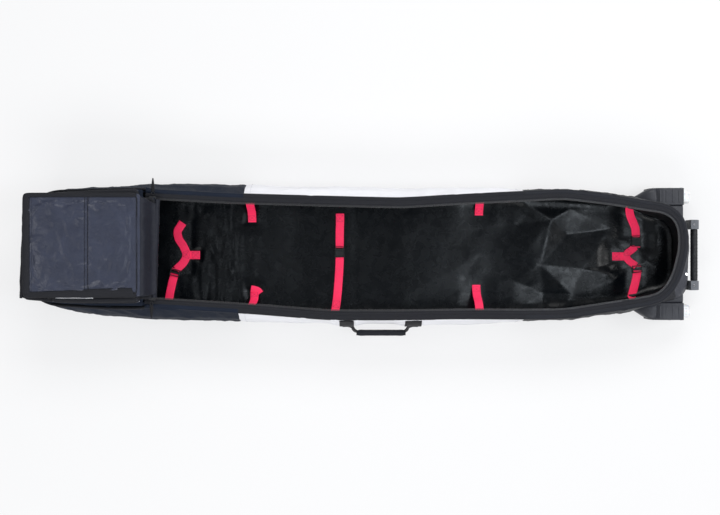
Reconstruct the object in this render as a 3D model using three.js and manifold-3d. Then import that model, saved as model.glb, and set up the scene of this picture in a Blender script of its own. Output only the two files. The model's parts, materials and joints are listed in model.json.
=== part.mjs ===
// Wheeled double ski bag, about 1.97 m long, lying on its back with the padded lid folded onto the tail.
// Millimetres. +X runs from the tail to the wheel end, +Y is the bag's left side, +Z is up.
// The origin is the middle of the base panel's underside.
import * as THREE from 'three';
import { mergeVertices } from 'three/addons/utils/BufferGeometryUtils.js';
import Module from 'manifold-3d';

const wasm = await Module();
wasm.setup();

// ---- Driving dimensions ----------------------------------------------------------------------------
const RIM_Z = 194; // top edge of the open side walls
const HOOD_Z = 203; // underside of the closed lid and of the fixed hood
const PANEL_THICKNESS = 10; // padded lid and hood
const LAYER_GAP = 1; // between two folded lid panels
const WALL_THICKNESS = 8;
const BASE_THICKNESS = 6;
const BASE_INSET = 22; // the walls' lower edge stands this far inside their widest line
const TOUCH_GAP = 0.3; // between pieces that rest on each other

const SPLIT_TAIL_X = -340; // the navy tail section ends and the white middle begins
const SPLIT_WHEEL_X = 480; // the white middle ends and the black wheel section begins
const SHOULDER_X = -628; // the zip ends here and the fixed hood begins
const HOOD_FRONT_X = -594; // first fold line of the lid
const SIDE_END_X = 866; // the side walls meet the wheel-end wall

const BAND_WIDTH = 22; // binding around the opening
const BAND_THICKNESS = 3;
const TRACK_WIDTH = 6; // zip coil along the binding's inner edge
const TRACK_HEIGHT = 4;
const LID_INSET = 24; // the closed lid's edge lies this far inside the rim's outer edge

const PANEL_LENGTHS = [372, 334, 251, 251, 334]; // from the first fold to the free end
const SKEW = THREE.MathUtils.degToRad(1.9); // the first two fold lines are a little askew
const PANEL_END_GAP = 2; // from a panel's end to its fold line
const LAST_PANEL_HALF_WIDTH = 149;

const WEBBING_WIDTH = 25;
const WEBBING_THICKNESS = 2;

const WHEEL_RADIUS = 45;
const WHEEL_WIDTH = 36;
const WHEEL_Y = 172;
const AXLE_X = 953;
const AXLE_Z = 46;
const AXLE_RADIUS = 5;

const END_HANDLE_Z = 110;
const END_HANDLE_X = 994;
const END_HANDLE_Y = -3;
const END_HANDLE_LENGTH = 152;

// ---- Materials -------------------------------------------------------------------------------------
function material(color, roughness, metalness = 0) {
  return new THREE.MeshStandardMaterial({ color, roughness, metalness });
}

const navyFabric = material(0x2f3240, 0.75);
const whiteFabric = material(0xeeeef2, 0.6);
const blackFabric = material(0x2c2e36, 0.75);
const liningFabric = material(0x1b1d22, 0.3);
const binding = material(0x2c2d31, 0.8);
const redWebbing = material(0xe0244f, 0.7);
const blackPlastic = material(0x35373b, 0.5);
const stiffPlastic = material(0x101114, 0.6);
const wheelPlastic = material(0xe5e6e7, 0.35);
const steel = material(0x9a9ca0, 0.3, 1);

const bag = new THREE.Group();

function add(name, geometry, itsMaterial, position = [0, 0, 0]) {
  const mesh = new THREE.Mesh(geometry, itsMaterial);
  mesh.name = name;
  mesh.position.set(...position);
  bag.add(mesh);
  return mesh;
}

// ---- Solids ----------------------------------------------------------------------------------------
// A geometry from shared points and triangles, turned inside out if its faces point inwards.
function closedGeometry(points, triangles) {
  let volume = 0;
  for (const [a, b, c] of triangles) {
    volume += points[a].dot(new THREE.Vector3().crossVectors(points[b], points[c]));
  }
  const outward = volume > 0 ? triangles : triangles.map(([a, b, c]) => [a, c, b]);
  const geometry = new THREE.BufferGeometry().setFromPoints(points);
  geometry.setIndex(outward.flat());
  return geometry;
}

// A strip whose section has as many outer points as inner ones, lofted along its stations.
// Each station is { outer: [Vector3...], inner: [Vector3...] } with the points in matching order.
function loftStrip(stations) {
  const half = stations[0].outer.length;
  const ring = 2 * half;
  const points = stations.flatMap(({ outer, inner }) => [...outer, ...[...inner].reverse()]);
  const triangles = [];
  for (let s = 0; s < stations.length - 1; s += 1) {
    for (let k = 0; k < ring; k += 1) {
      const a = s * ring + k;
      const b = s * ring + ((k + 1) % ring);
      triangles.push([a, b, b + ring], [a, b + ring, a + ring]);
    }
  }
  const last = (stations.length - 1) * ring;
  for (let k = 0; k < half - 1; k += 1) {
    const corners = [k, k + 1, ring - 2 - k, ring - 1 - k];
    const [a, b, c, d] = corners;
    triangles.push([a, c, b], [a, d, c]);
    triangles.push([last + a, last + b, last + c], [last + a, last + c, last + d]);
  }
  return closedGeometry(points, triangles);
}

// A flat plate with the given plan outline, from z = low up to z = low + thickness.
function plate(outline, low, thickness) {
  const shape = new THREE.Shape(outline);
  const geometry = new THREE.ExtrudeGeometry(shape, { depth: thickness, bevelEnabled: false });
  return geometry.translate(0, 0, low);
}

function toManifold(geometry) {
  const bare = geometry.clone();
  bare.deleteAttribute('normal');
  bare.deleteAttribute('uv');
  const merged = mergeVertices(bare, 1e-4);
  return new wasm.Manifold(new wasm.Mesh({
    numProp: 3,
    vertProperties: new Float32Array(merged.attributes.position.array),
    triVerts: new Uint32Array(merged.index.array),
  }));
}

function fromManifold(solid) {
  const mesh = solid.getMesh();
  const geometry = new THREE.BufferGeometry();
  geometry.setAttribute('position', new THREE.BufferAttribute(mesh.vertProperties, 3));
  geometry.setIndex(new THREE.BufferAttribute(mesh.triVerts, 1));
  return geometry;
}

function cut(geometry, ...tools) {
  let solid = toManifold(geometry);
  for (const tool of tools) {
    solid = solid.subtract(toManifold(tool));
  }
  return fromManifold(solid);
}

// A turned piece: profile points are [radius, distance along the axis], and the axis is Y.
function turned(profile, segments) {
  return new THREE.LatheGeometry(profile.map(([r, y]) => new THREE.Vector2(r, y)), segments);
}

// ---- The bag's outline -----------------------------------------------------------------------------
// One station holds the wall's widest point and its rim in plan, and the ways inwards at both.
const plan = (x, y) => new THREE.Vector2(x, y);

// Distance along the bag, half width at the widest line (left, right), half width at the rim (left, right).
const SIDE_STATIONS = [
  [SHOULDER_X, 209, 194, 187, 152],
  [SPLIT_TAIL_X, 209, 206, 172, 170],
  [-90, 203, 209, 165, 190],
  [119, 197, 209, 160, 190],
  [298, 200, 211, 171, 187],
  [SPLIT_WHEEL_X, 195, 205, 180, 188],
  [597, 191, 196, 187, 187],
  [667, 187, 187, 178, 176],
  [746, 179, 177, 168, 164],
  [838, 170, 165, 152, 150],
  [SIDE_END_X, 142, 142, 149, 145],
];

// Widest point and rim around the wheel end, from the left corner to the right one.
const WHEEL_END_STATIONS = [
  [plan(930, 134), plan(905, 140)],
  [plan(962, 112), plan(936, 114)],
  [plan(974, 70), plan(950, 74)],
  [plan(976, 5), plan(951, 10)],
  [plan(976, -60), plan(934, -58)],
  [plan(973, -104), plan(910, -106)],
  [plan(945, -133), plan(882, -134)],
];

// The same around the tail, from the right shoulder to the left one.
const TAIL_STATIONS = [
  [plan(-776, -182), plan(-776, -150)],
  [plan(-900, -162), plan(-900, -142)],
  [plan(-952, -128), plan(-946, -118)],
  [plan(-970, -78), plan(-962, -72)],
  [plan(-970, 108), plan(-962, 104)],
  [plan(-952, 158), plan(-946, 150)],
  [plan(-900, 190), plan(-900, 178)],
  [plan(-776, 195), plan(-776, 184)],
];

function sideStation([x, left, right, rimLeft, rimRight], sign) {
  const inward = plan(0, -sign);
  const widest = plan(x, sign * (sign > 0 ? left : right));
  const rim = plan(x, sign * (sign > 0 ? rimLeft : rimRight));
  return { widest, rim, inward, rimInward: inward };
}

// The way inwards is square to the line between the two neighbours; the loop runs clockwise from above.
function inwardAt(before, after) {
  const along = after.clone().sub(before).normalize();
  return plan(along.y, -along.x);
}

function endStations(rows, before, after) {
  const all = [[before.widest, before.rim], ...rows, [after.widest, after.rim]];
  return rows.map(([widest, rim], k) => ({
    widest,
    rim,
    inward: inwardAt(all[k][0], all[k + 2][0]),
    rimInward: inwardAt(all[k][1], all[k + 2][1]),
  }));
}

const leftSide = SIDE_STATIONS.map((row) => sideStation(row, 1));
const rightSide = SIDE_STATIONS.map((row) => sideStation(row, -1)).reverse();
const wheelEnd = endStations(WHEEL_END_STATIONS, leftSide.at(-1), rightSide[0]);
const tailEnd = endStations(TAIL_STATIONS, rightSide.at(-1), leftSide[0]);
const outline = [...leftSide, ...wheelEnd, ...rightSide, ...tailEnd];

function inset(point, direction, distance) {
  return point.clone().addScaledVector(direction, distance);
}

// Moves a node's first and last stations towards its middle, so that neighbours keep a small gap.
function trimmed(stations, gap = TOUCH_GAP / 2) {
  const moved = stations.map((station) => ({ ...station }));
  const pairs = [[0, 1], [stations.length - 1, stations.length - 2]];
  for (const [end, next] of pairs) {
    for (const key of ['widest', 'rim']) {
      const way = stations[next][key].clone().sub(stations[end][key]).normalize();
      moved[end][key] = inset(stations[end][key], way, gap);
    }
  }
  return moved;
}

// The wall bulges from its lower edge through the widest line to the rim.
const WALL_LOW_Z = BASE_THICKNESS + TOUCH_GAP;
const WALL_STEPS = [0, 0.25, 0.5, 0.75, 1];

function wallPoint({ widest, rim, inward }, t, top, depth) {
  const foot = inset(widest, inward, BASE_INSET);
  const pull = widest.clone().multiplyScalar(2).addScaledVector(foot, -0.5).addScaledVector(rim, -0.5);
  const at = foot.multiplyScalar((1 - t) ** 2)
    .addScaledVector(pull, 2 * t * (1 - t))
    .addScaledVector(rim, t ** 2)
    .addScaledVector(inward, depth);
  return new THREE.Vector3(at.x, at.y, WALL_LOW_Z + t * (top - WALL_LOW_Z));
}

function wall(stations, top) {
  return loftStrip(trimmed(stations).map((station) => ({
    outer: WALL_STEPS.map((t) => wallPoint(station, t, top, 0)),
    inner: WALL_STEPS.map((t) => wallPoint(station, t, top, WALL_THICKNESS)),
  })));
}

function between(stations, low, high) {
  return stations.filter(({ widest }) => widest.x >= low && widest.x <= high);
}

function addWalls() {
  const sections = [
    ['tail', SHOULDER_X, SPLIT_TAIL_X, navyFabric],
    ['middle', SPLIT_TAIL_X, SPLIT_WHEEL_X, whiteFabric],
    ['wheel', SPLIT_WHEEL_X, SIDE_END_X, blackFabric],
  ];
  for (const [side, stations] of [['left', leftSide], ['right', rightSide]]) {
    for (const [section, low, high, fabric] of sections) {
      add(`side_wall_${side}_${section}`, wall(between(stations, low, high), RIM_Z), fabric);
    }
  }
  add('wheel_end_wall', wall([leftSide.at(-1), ...wheelEnd, rightSide[0]], RIM_Z), blackFabric);
  const hoodWall = HOOD_Z - TOUCH_GAP;
  add('tail_end_wall', wall([rightSide.at(-1), ...tailEnd, leftSide[0]], hoodWall), navyFabric);
}

// ---- Base ------------------------------------------------------------------------------------------
function footprint(distance) {
  return outline.map(({ widest, inward }) => inset(widest, inward, distance));
}

const BOARD_THICKNESS = 3;
const BOARD_LOW_Z = BASE_THICKNESS + TOUCH_GAP;
const LINING_LOW_Z = BOARD_LOW_Z + BOARD_THICKNESS + TOUCH_GAP;
const FLOOR_Z = LINING_LOW_Z + BOARD_THICKNESS; // upper face of the floor lining

function addBase() {
  const wallFoot = BASE_INSET + WALL_THICKNESS;
  add('base_panel', plate(footprint(BASE_INSET - 3), 0, BASE_THICKNESS), blackFabric);
  add('base_board', plate(footprint(wallFoot + 6), BOARD_LOW_Z, BOARD_THICKNESS), stiffPlastic);
  add('floor_lining', plate(footprint(wallFoot + 4), LINING_LOW_Z, BOARD_THICKNESS), liningFabric);
}

// ---- Rim binding, zip tracks and sliders -----------------------------------------------------------
function rimStrip(stations, from, to, low, high) {
  return loftStrip(trimmed(stations).map(({ rim, rimInward }) => {
    const near = inset(rim, rimInward, from);
    const far = inset(rim, rimInward, to);
    return {
      outer: [new THREE.Vector3(near.x, near.y, low), new THREE.Vector3(near.x, near.y, high)],
      inner: [new THREE.Vector3(far.x, far.y, low), new THREE.Vector3(far.x, far.y, high)],
    };
  }));
}

const BAND_LOW_Z = RIM_Z + TOUCH_GAP;
const TRACK_LOW_Z = BAND_LOW_Z - 0.5;
const TRACK_CENTRE = BAND_WIDTH + TOUCH_GAP + TRACK_WIDTH / 2;

function addRim() {
  const middle = wheelEnd.length >> 1;
  const halves = [
    ['left', [...leftSide, ...wheelEnd.slice(0, middle + 1)]],
    ['right', [...wheelEnd.slice(middle), ...rightSide]],
  ];
  for (const [side, stations] of halves) {
    const band = rimStrip(stations, 0, BAND_WIDTH, BAND_LOW_Z, BAND_LOW_Z + BAND_THICKNESS);
    const trackFrom = BAND_WIDTH + TOUCH_GAP;
    const trackTo = trackFrom + TRACK_WIDTH;
    const track = rimStrip(stations, trackFrom, trackTo, TRACK_LOW_Z, TRACK_LOW_Z + TRACK_HEIGHT);
    add(`rim_binding_${side}`, band, binding);
    add(`zip_track_${side}`, track, blackPlastic);
  }
}

// Where the slider stands on its track, and the track's direction there, which is its travel.
const SLIDER_X = -603;
const SLIDER_LENGTH = 20;

function trackPlace(sign) {
  const start = sideStation(SIDE_STATIONS[0], sign);
  const end = sideStation(SIDE_STATIONS[1], sign);
  const from = inset(start.rim, start.inward, TRACK_CENTRE);
  const to = inset(end.rim, end.inward, TRACK_CENTRE);
  const along = to.clone().sub(from).normalize();
  const at = inset(from, along, (SLIDER_X - from.x) / along.x);
  return { at, angle: Math.atan2(along.y, along.x) };
}

// Sections below are drawn as [outwards from the track, height] and stretched along the track.
function alongTrack(section, sign, length) {
  const points = section.map(([out, z]) => plan(sign * out, z));
  const shape = new THREE.Shape(points);
  const geometry = new THREE.ExtrudeGeometry(shape, { depth: length, bevelEnabled: false });
  geometry.translate(0, 0, -length / 2);
  // the drawing's x, y and depth become the bag's y, z and x
  return geometry.applyMatrix4(new THREE.Matrix4().set(0, 0, 1, 0, 1, 0, 0, 0, 0, 1, 0, 0, 0, 0, 0, 1));
}

const TRACK_TOP_Z = TRACK_LOW_Z + TRACK_HEIGHT;
const PULL_PIVOT_OUT = 9;
const PULL_LENGTH = 50;
const PULL_WIDTH = 9;

function sliderSection() {
  const top = TRACK_TOP_Z + 0.4;
  const floor = TRACK_LOW_Z - 0.4;
  const inner = -TRACK_WIDTH / 2 - 0.5;
  return [
    [6.5, top], [6.5, top + 3.4], [inner - 2.5, top + 3.4], [inner - 2.5, floor - 3.5],
    [5, floor - 3.5], [5, floor], [inner, floor], [inner, top],
  ];
}

function pullSection() {
  const low = BAND_LOW_Z + BAND_THICKNESS + 1.2;
  const start = PULL_PIVOT_OUT + 1.2;
  return [[start, low], [start + PULL_LENGTH, low], [start + PULL_LENGTH, low + 2.2], [start, low + 2.2]];
}

function addSliders() {
  for (const [side, sign] of [['left', 1], ['right', -1]]) {
    const { at, angle } = trackPlace(sign);
    const slider = add(`zip_slider_${side}`, alongTrack(sliderSection(), sign, SLIDER_LENGTH), steel);
    const pull = add(`zip_pull_${side}`, alongTrack(pullSection(), sign, PULL_WIDTH), steel);
    for (const piece of [slider, pull]) {
      piece.position.set(at.x, at.y, 0);
      piece.rotation.z = angle;
    }
  }
}

// ---- Hood and folding lid --------------------------------------------------------------------------
function edgeAt(x, sign) {
  const column = sign > 0 ? 3 : 4;
  const next = SIDE_STATIONS.findIndex(([station]) => station >= x);
  const [a, b] = [SIDE_STATIONS[Math.max(next - 1, 0)], SIDE_STATIONS[Math.max(next, 1)]];
  const share = (x - a[0]) / (b[0] - a[0]);
  return sign * (THREE.MathUtils.lerp(a[column], b[column], share) - LID_INSET);
}

function addHood() {
  const tail = tailEnd.map(({ rim }) => rim);
  const shoulder = (sign) => plan(SHOULDER_X, sideStation(SIDE_STATIONS[0], sign).rim.y);
  const front = HOOD_FRONT_X - PANEL_END_GAP;
  const half = (sign) => edgeAt(SHOULDER_X, sign);
  const corners = [
    shoulder(-1), ...tail, shoulder(1),
    plan(SHOULDER_X, half(1)), plan(front - Math.tan(SKEW) * -half(1), half(1)),
    plan(front - Math.tan(SKEW) * -half(-1), half(-1)), plan(SHOULDER_X, half(-1)),
  ];
  add('tail_hood', plate(corners, HOOD_Z, PANEL_THICKNESS), navyFabric);
}

// Fold lines across the closed lid: distance, height and how far they are askew.
function foldLines() {
  let x = HOOD_FRONT_X;
  return PANEL_LENGTHS.map((length, k) => {
    const above = k % 2 === 0;
    const z = above ? HOOD_Z + PANEL_THICKNESS + LAYER_GAP / 2 : HOOD_Z - LAYER_GAP / 2;
    const line = { x, z, skew: k < 2 ? SKEW : 0 };
    x += length;
    return line;
  });
}

// The matrix that folds everything beyond the line right over.
function foldOver({ x, z, skew }) {
  const direction = new THREE.Vector3(Math.sin(skew), Math.cos(skew), 0);
  return new THREE.Matrix4().makeTranslation(x, 0, z)
    .multiply(new THREE.Matrix4().makeRotationAxis(direction, Math.PI))
    .multiply(new THREE.Matrix4().makeTranslation(-x, 0, -z));
}

function panelOutline(from, to, halfWidth) {
  const startX = (y) => from.x + PANEL_END_GAP + Math.tan(from.skew) * y;
  const endX = (y) => to.x - PANEL_END_GAP + Math.tan(to.skew) * y;
  const edge = (x, sign) => (halfWidth ? sign * halfWidth : edgeAt(x, sign));
  const side = (sign) => {
    const first = edge(from.x, sign);
    const last = edge(to.x, sign);
    const inner = SIDE_STATIONS.map(([x]) => x).filter((x) => x > from.x + 25 && x < to.x - 25);
    const middle = halfWidth ? [] : inner.map((x) => plan(x, edge(x, sign)));
    return [plan(startX(first), first), ...middle, plan(endX(last), last)];
  };
  return [...side(-1), ...side(1).reverse()];
}

function addLid() {
  const folds = foldLines();
  const end = { x: HOOD_FRONT_X + PANEL_LENGTHS.reduce((sum, length) => sum + length, 0), skew: 0 };
  const folded = new THREE.Matrix4();
  folds.forEach((fold, k) => {
    folded.multiply(foldOver(fold));
    const isLast = k === folds.length - 1;
    const shape = panelOutline(fold, isLast ? end : folds[k + 1], isLast && LAST_PANEL_HALF_WIDTH);
    const panel = add(`lid_panel_${k + 1}`, plate(shape, HOOD_Z, PANEL_THICKNESS), whiteFabric);
    panel.applyMatrix4(folded);
  });
}

// ---- Webbing ---------------------------------------------------------------------------------------
// A flat strap through the given points, lying level across its width.
function ribbon(points, width = WEBBING_WIDTH, thickness = WEBBING_THICKNESS) {
  const route = points.map((point) => new THREE.Vector3(...point));
  const up = new THREE.Vector3(0, 0, 1);
  return loftStrip(route.map((at, k) => {
    const before = route[Math.max(k - 1, 0)];
    const after = route[Math.min(k + 1, route.length - 1)];
    const along = after.clone().sub(before).normalize();
    const across = new THREE.Vector3().crossVectors(up, along).normalize();
    const face = new THREE.Vector3().crossVectors(along, across);
    const corner = (s, t) => at.clone().addScaledVector(across, s * width / 2)
      .addScaledVector(face, t * thickness / 2);
    return { outer: [corner(1, 1), corner(-1, 1)], inner: [corner(1, -1), corner(-1, -1)] };
  }));
}

function wallInside(x, z, sign) {
  const next = Math.max(SIDE_STATIONS.findIndex(([station]) => station >= x), 1);
  const [a, b] = [SIDE_STATIONS[next - 1], SIDE_STATIONS[next]];
  const share = (x - a[0]) / (b[0] - a[0]);
  const row = a.map((value, column) => THREE.MathUtils.lerp(value, b[column], share));
  const t = (z - WALL_LOW_Z) / (RIM_Z - WALL_LOW_Z);
  return wallPoint(sideStation(row, sign), t, RIM_Z, WALL_THICKNESS).y;
}

const STRAP_Z = FLOOR_Z + 1.4; // mid-thickness of a strap lying on the floor
const UPPER_STRAP_Z = STRAP_Z + WEBBING_THICKNESS + TOUCH_GAP; // and of one crossing over it
const OFF_WALL = 6;

// Points that take a strap from the floor's edge up the inside of the wall.
function upTheWall(x, sign, heights) {
  const reach = WEBBING_WIDTH / 2;
  return heights.map((z) => {
    const walls = [x - reach, x + reach].map((side) => Math.abs(wallInside(side, z, sign)));
    return [x, sign * (Math.min(...walls) - OFF_WALL), z];
  });
}

const BUCKLE_HEIGHT = 9;
const BUCKLE_WIDTH = 31;

// Half a buckle, as wide as the whole one where the halves meet and narrower at its strap by the taper.
function buckleHalf(length, taper) {
  const half = BUCKLE_WIDTH / 2;
  const far = half - taper;
  return plate([plan(-half, 0), plan(half, 0), plan(far, length), plan(-far, length)], 0, BUCKLE_HEIGHT);
}

// A plug and socket of a side-release buckle, meeting at the given point and lying along +Y.
function addBuckle(name, x, y) {
  const z = FLOOR_Z + 0.4;
  const socket = add(`${name}_socket`, buckleHalf(20, 0), blackPlastic, [x, y, z]);
  socket.rotation.z = Math.PI;
  add(`${name}_plug`, buckleHalf(13, 4), blackPlastic, [x, y + TOUCH_GAP, z]);
}

function addMiddleStrap() {
  addBuckle('middle_buckle', -62, 10);
  add('middle_strap_left', ribbon([
    [-62, 23.7, STRAP_Z], [-62, 60, STRAP_Z], [-61, 124, STRAP_Z],
  ]), redWebbing);
  add('middle_strap_right', ribbon([
    [-62, -10.5, STRAP_Z], [-64, -60, STRAP_Z], [-69, -125, STRAP_Z], [-73, -160, STRAP_Z + 5],
    ...upTheWall(-77, -1, [40, 70, 110, 150]),
  ]), redWebbing);
}

function addTailStrap() {
  add('tail_strap_anchor', ribbon([[-490, -3, STRAP_Z], [-530, -3, STRAP_Z]]), redWebbing);
  add('tail_strap_fork', ribbon([
    [-543, 96, UPPER_STRAP_Z], [-556, 70, UPPER_STRAP_Z], [-553, 46, UPPER_STRAP_Z],
    [-535, 20, UPPER_STRAP_Z], [-527, -4, UPPER_STRAP_Z], [-541, -28, UPPER_STRAP_Z],
    [-562, -50, UPPER_STRAP_Z],
  ]), redWebbing);
  add('tail_strap_side', ribbon([
    [-568, -63, STRAP_Z], [-576, -95, STRAP_Z], [-584, -140, STRAP_Z + 2],
    ...upTheWall(-587, -1, [32, 60, 95]),
  ]), redWebbing);
}

function addWheelStrap() {
  add('wheel_strap_anchor', ribbon([[772, -7, STRAP_Z], [812, -7, STRAP_Z]]), redWebbing);
  addBuckle('wheel_buckle', 843, 43);
  add('wheel_strap_left', ribbon([
    [843, 57, STRAP_Z], [842, 78, STRAP_Z], [834, 95, STRAP_Z + 2], [826, 112, STRAP_Z + 10],
    ...upTheWall(820, 1, [45, 80, 110]),
  ]), redWebbing);
  add('wheel_strap_fork', ribbon([
    [830, 12, UPPER_STRAP_Z], [817, 5, UPPER_STRAP_Z], [810, -6, UPPER_STRAP_Z],
    [818, -22, UPPER_STRAP_Z], [836, -34, UPPER_STRAP_Z],
  ], 22), redWebbing);
  add('wheel_strap_right', ribbon([
    [847, -53, STRAP_Z], [841, -85, STRAP_Z + 1], [834, -112, STRAP_Z + 8],
    ...upTheWall(829, -1, [45, 80, 110]),
  ]), redWebbing);
}

// A short strap that holds a pole: sewn to the wall under the rim and drooping to the floor.
function addPoleStraps() {
  const straps = [
    ['pole_strap_left_tail', -333, 1, 97],
    ['pole_strap_right_tail', -326, -1, 113],
    ['pole_strap_left_wheel', 361, 1, 118],
    ['pole_strap_right_wheel', 360, -1, 94],
  ];
  for (const [name, x, sign, end] of straps) {
    const top = upTheWall(x, sign, [150, 120]).map(([, y, z]) => [x, y - sign * 4, z]);
    const droop = [[x, sign * (end + 55), 72], [x, sign * (end + 30), 32], [x, sign * end, STRAP_Z + 2]];
    add(name, ribbon([...top, ...droop]), redWebbing);
  }
}

// ---- Wheels ----------------------------------------------------------------------------------------
const HOUSING_INNER_Y = 146.5;
const HOUSING_OUTER_Y = 197;
const CHEEK_THICKNESS = 4;
const BORE_RADIUS = AXLE_RADIUS + 0.4;
const HUB_RADIUS = 34;

function wheelHousing(sign) {
  const profile = new THREE.Shape();
  profile.moveTo(SIDE_END_X + 1, 12);
  profile.lineTo(SIDE_END_X + 1, 70);
  profile.quadraticCurveTo(SIDE_END_X + 6, 100, 905, 104);
  profile.lineTo(966, 104);
  profile.lineTo(966, 4);
  profile.lineTo(SIDE_END_X + 12, 4);
  const depth = HOUSING_OUTER_Y - HOUSING_INNER_Y;
  const body = new THREE.ExtrudeGeometry(profile, { depth, bevelEnabled: false, curveSegments: 5 });
  // the drawing's depth becomes the bag's -Y
  body.rotateX(Math.PI / 2).translate(0, (sign * (HOUSING_INNER_Y + HOUSING_OUTER_Y) + depth) / 2, 0);
  const wellRadius = WHEEL_RADIUS + 4;
  const well = new THREE.CylinderGeometry(wellRadius, wellRadius, depth - 2 * CHEEK_THICKNESS, 32);
  well.translate(AXLE_X, sign * (HOUSING_INNER_Y + HOUSING_OUTER_Y) / 2, AXLE_Z);
  const bore = new THREE.CylinderGeometry(BORE_RADIUS, BORE_RADIUS, depth + 4, 24);
  bore.translate(AXLE_X, sign * (HOUSING_INNER_Y + HOUSING_OUTER_Y) / 2, AXLE_Z);
  return cut(body, well, bore);
}

function addWheels() {
  const half = WHEEL_WIDTH / 2;
  const tyre = [
    [HUB_RADIUS + 0.3, -half + 1], [WHEEL_RADIUS - 4, -half], [WHEEL_RADIUS, -half + 5],
    [WHEEL_RADIUS, half - 5], [WHEEL_RADIUS - 4, half], [HUB_RADIUS + 0.3, half - 1],
    [HUB_RADIUS + 0.3, -half + 1],
  ];
  const hub = [
    [8.5, -half], [13, -half], [13, -half + 7], [HUB_RADIUS - 5, -half + 7], [HUB_RADIUS - 5, -half + 1],
    [HUB_RADIUS, -half + 1], [HUB_RADIUS, half - 1], [HUB_RADIUS - 5, half - 1],
    [HUB_RADIUS - 5, half - 7], [13, half - 7], [13, half], [8.5, half], [8.5, -half],
  ];
  const bush = [
    [BORE_RADIUS, -half - 1], [8, -half - 1], [8, half + 1], [BORE_RADIUS, half + 1],
    [BORE_RADIUS, -half - 1],
  ];
  const axleLength = HOUSING_OUTER_Y - HOUSING_INNER_Y - 1;
  for (const [side, sign] of [['left', 1], ['right', -1]]) {
    const at = [AXLE_X, sign * WHEEL_Y, AXLE_Z];
    add(`wheel_tyre_${side}`, turned(tyre, 32), wheelPlastic, at);
    add(`wheel_hub_${side}`, turned(hub, 32), wheelPlastic, at);
    add(`wheel_bush_${side}`, turned(bush, 24), steel, at);
    const axle = new THREE.CylinderGeometry(AXLE_RADIUS, AXLE_RADIUS, axleLength, 24);
    add(`wheel_axle_${side}`, axle, steel, at);
    add(`wheel_housing_${side}`, wheelHousing(sign), blackPlastic);
  }
}

// ---- Handles ---------------------------------------------------------------------------------------
function addEndHandle() {
  const bar = new THREE.CylinderGeometry(10.5, 10.5, END_HANDLE_LENGTH, 24);
  add('end_handle_bar', bar, blackPlastic, [END_HANDLE_X, END_HANDLE_Y, END_HANDLE_Z]);
  const back = 976.6;
  const width = 28;
  const profile = new THREE.Shape([
    plan(back, 78), plan(END_HANDLE_X + 4, 92), plan(END_HANDLE_X + 12, 100),
    plan(END_HANDLE_X + 12, 120), plan(END_HANDLE_X + 4, 128), plan(back, 142),
  ]);
  for (const [side, sign] of [['left', 1], ['right', -1]]) {
    const bracket = new THREE.ExtrudeGeometry(profile, { depth: width, bevelEnabled: false });
    // the drawing's depth becomes the bag's -Y
    bracket.rotateX(Math.PI / 2);
    const near = END_HANDLE_Y + sign * (END_HANDLE_LENGTH / 2 + TOUCH_GAP);
    const highY = sign > 0 ? near + width : near;
    add(`end_handle_bracket_${side}`, bracket, blackPlastic, [0, highY, 0]);
  }
}

const SIDE_HANDLE_Z = 105;
const SIDE_HANDLE_PIVOT_Y = -219;

function addSideHandle() {
  for (const [name, low, high] of [['tail', -60, -18], ['wheel', 134, 178]]) {
    const patch = new THREE.BoxGeometry(high - low, 3, 34);
    const x = (low + high) / 2;
    add(`side_handle_patch_${name}`, patch, blackFabric, [x, -213.2, SIDE_HANDLE_Z]);
  }
  const rootY = SIDE_HANDLE_PIVOT_Y - 3;
  const reach = -235;
  const loop = [
    plan(-30, rootY), plan(-22, reach + 3), plan(-12, reach), plan(137, reach),
    plan(147, reach + 3), plan(155, rootY),
  ];
  const outer = loop.map((point) => plan(point.x, point.y - 1.5));
  const inner = loop.map((point) => plan(point.x, point.y + 1.5));
  outer[0].x -= 3;
  outer[5].x += 3;
  const webbing = plate([...outer, ...inner.reverse()], SIDE_HANDLE_Z - WEBBING_WIDTH / 2, WEBBING_WIDTH);
  add('side_handle_webbing', webbing, blackFabric);
  // the grip is a padded sleeve around the webbing
  const sleeve = new THREE.BoxGeometry(137, 19, 34);
  const slot = new THREE.BoxGeometry(141, 3.6, WEBBING_WIDTH + 0.6);
  add('side_handle_grip', cut(sleeve, slot), binding, [62.5, reach, SIDE_HANDLE_Z]);
}

addBase();
addWalls();
addRim();
addSliders();
addHood();
addLid();
addMiddleStrap();
addTailStrap();
addWheelStrap();
addPoleStraps();
addWheels();
addEndHandle();
addSideHandle();

export default bag;
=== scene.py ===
"""Looks of the wheeled ski bag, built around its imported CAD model. Metres, in the CAD frame."""

import itertools
import json
import math

import bpy
import numpy as np
from mathutils import Matrix, Vector
from mathutils.bvhtree import BVHTree
from mathutils.geometry import delaunay_2d_cdt


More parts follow.
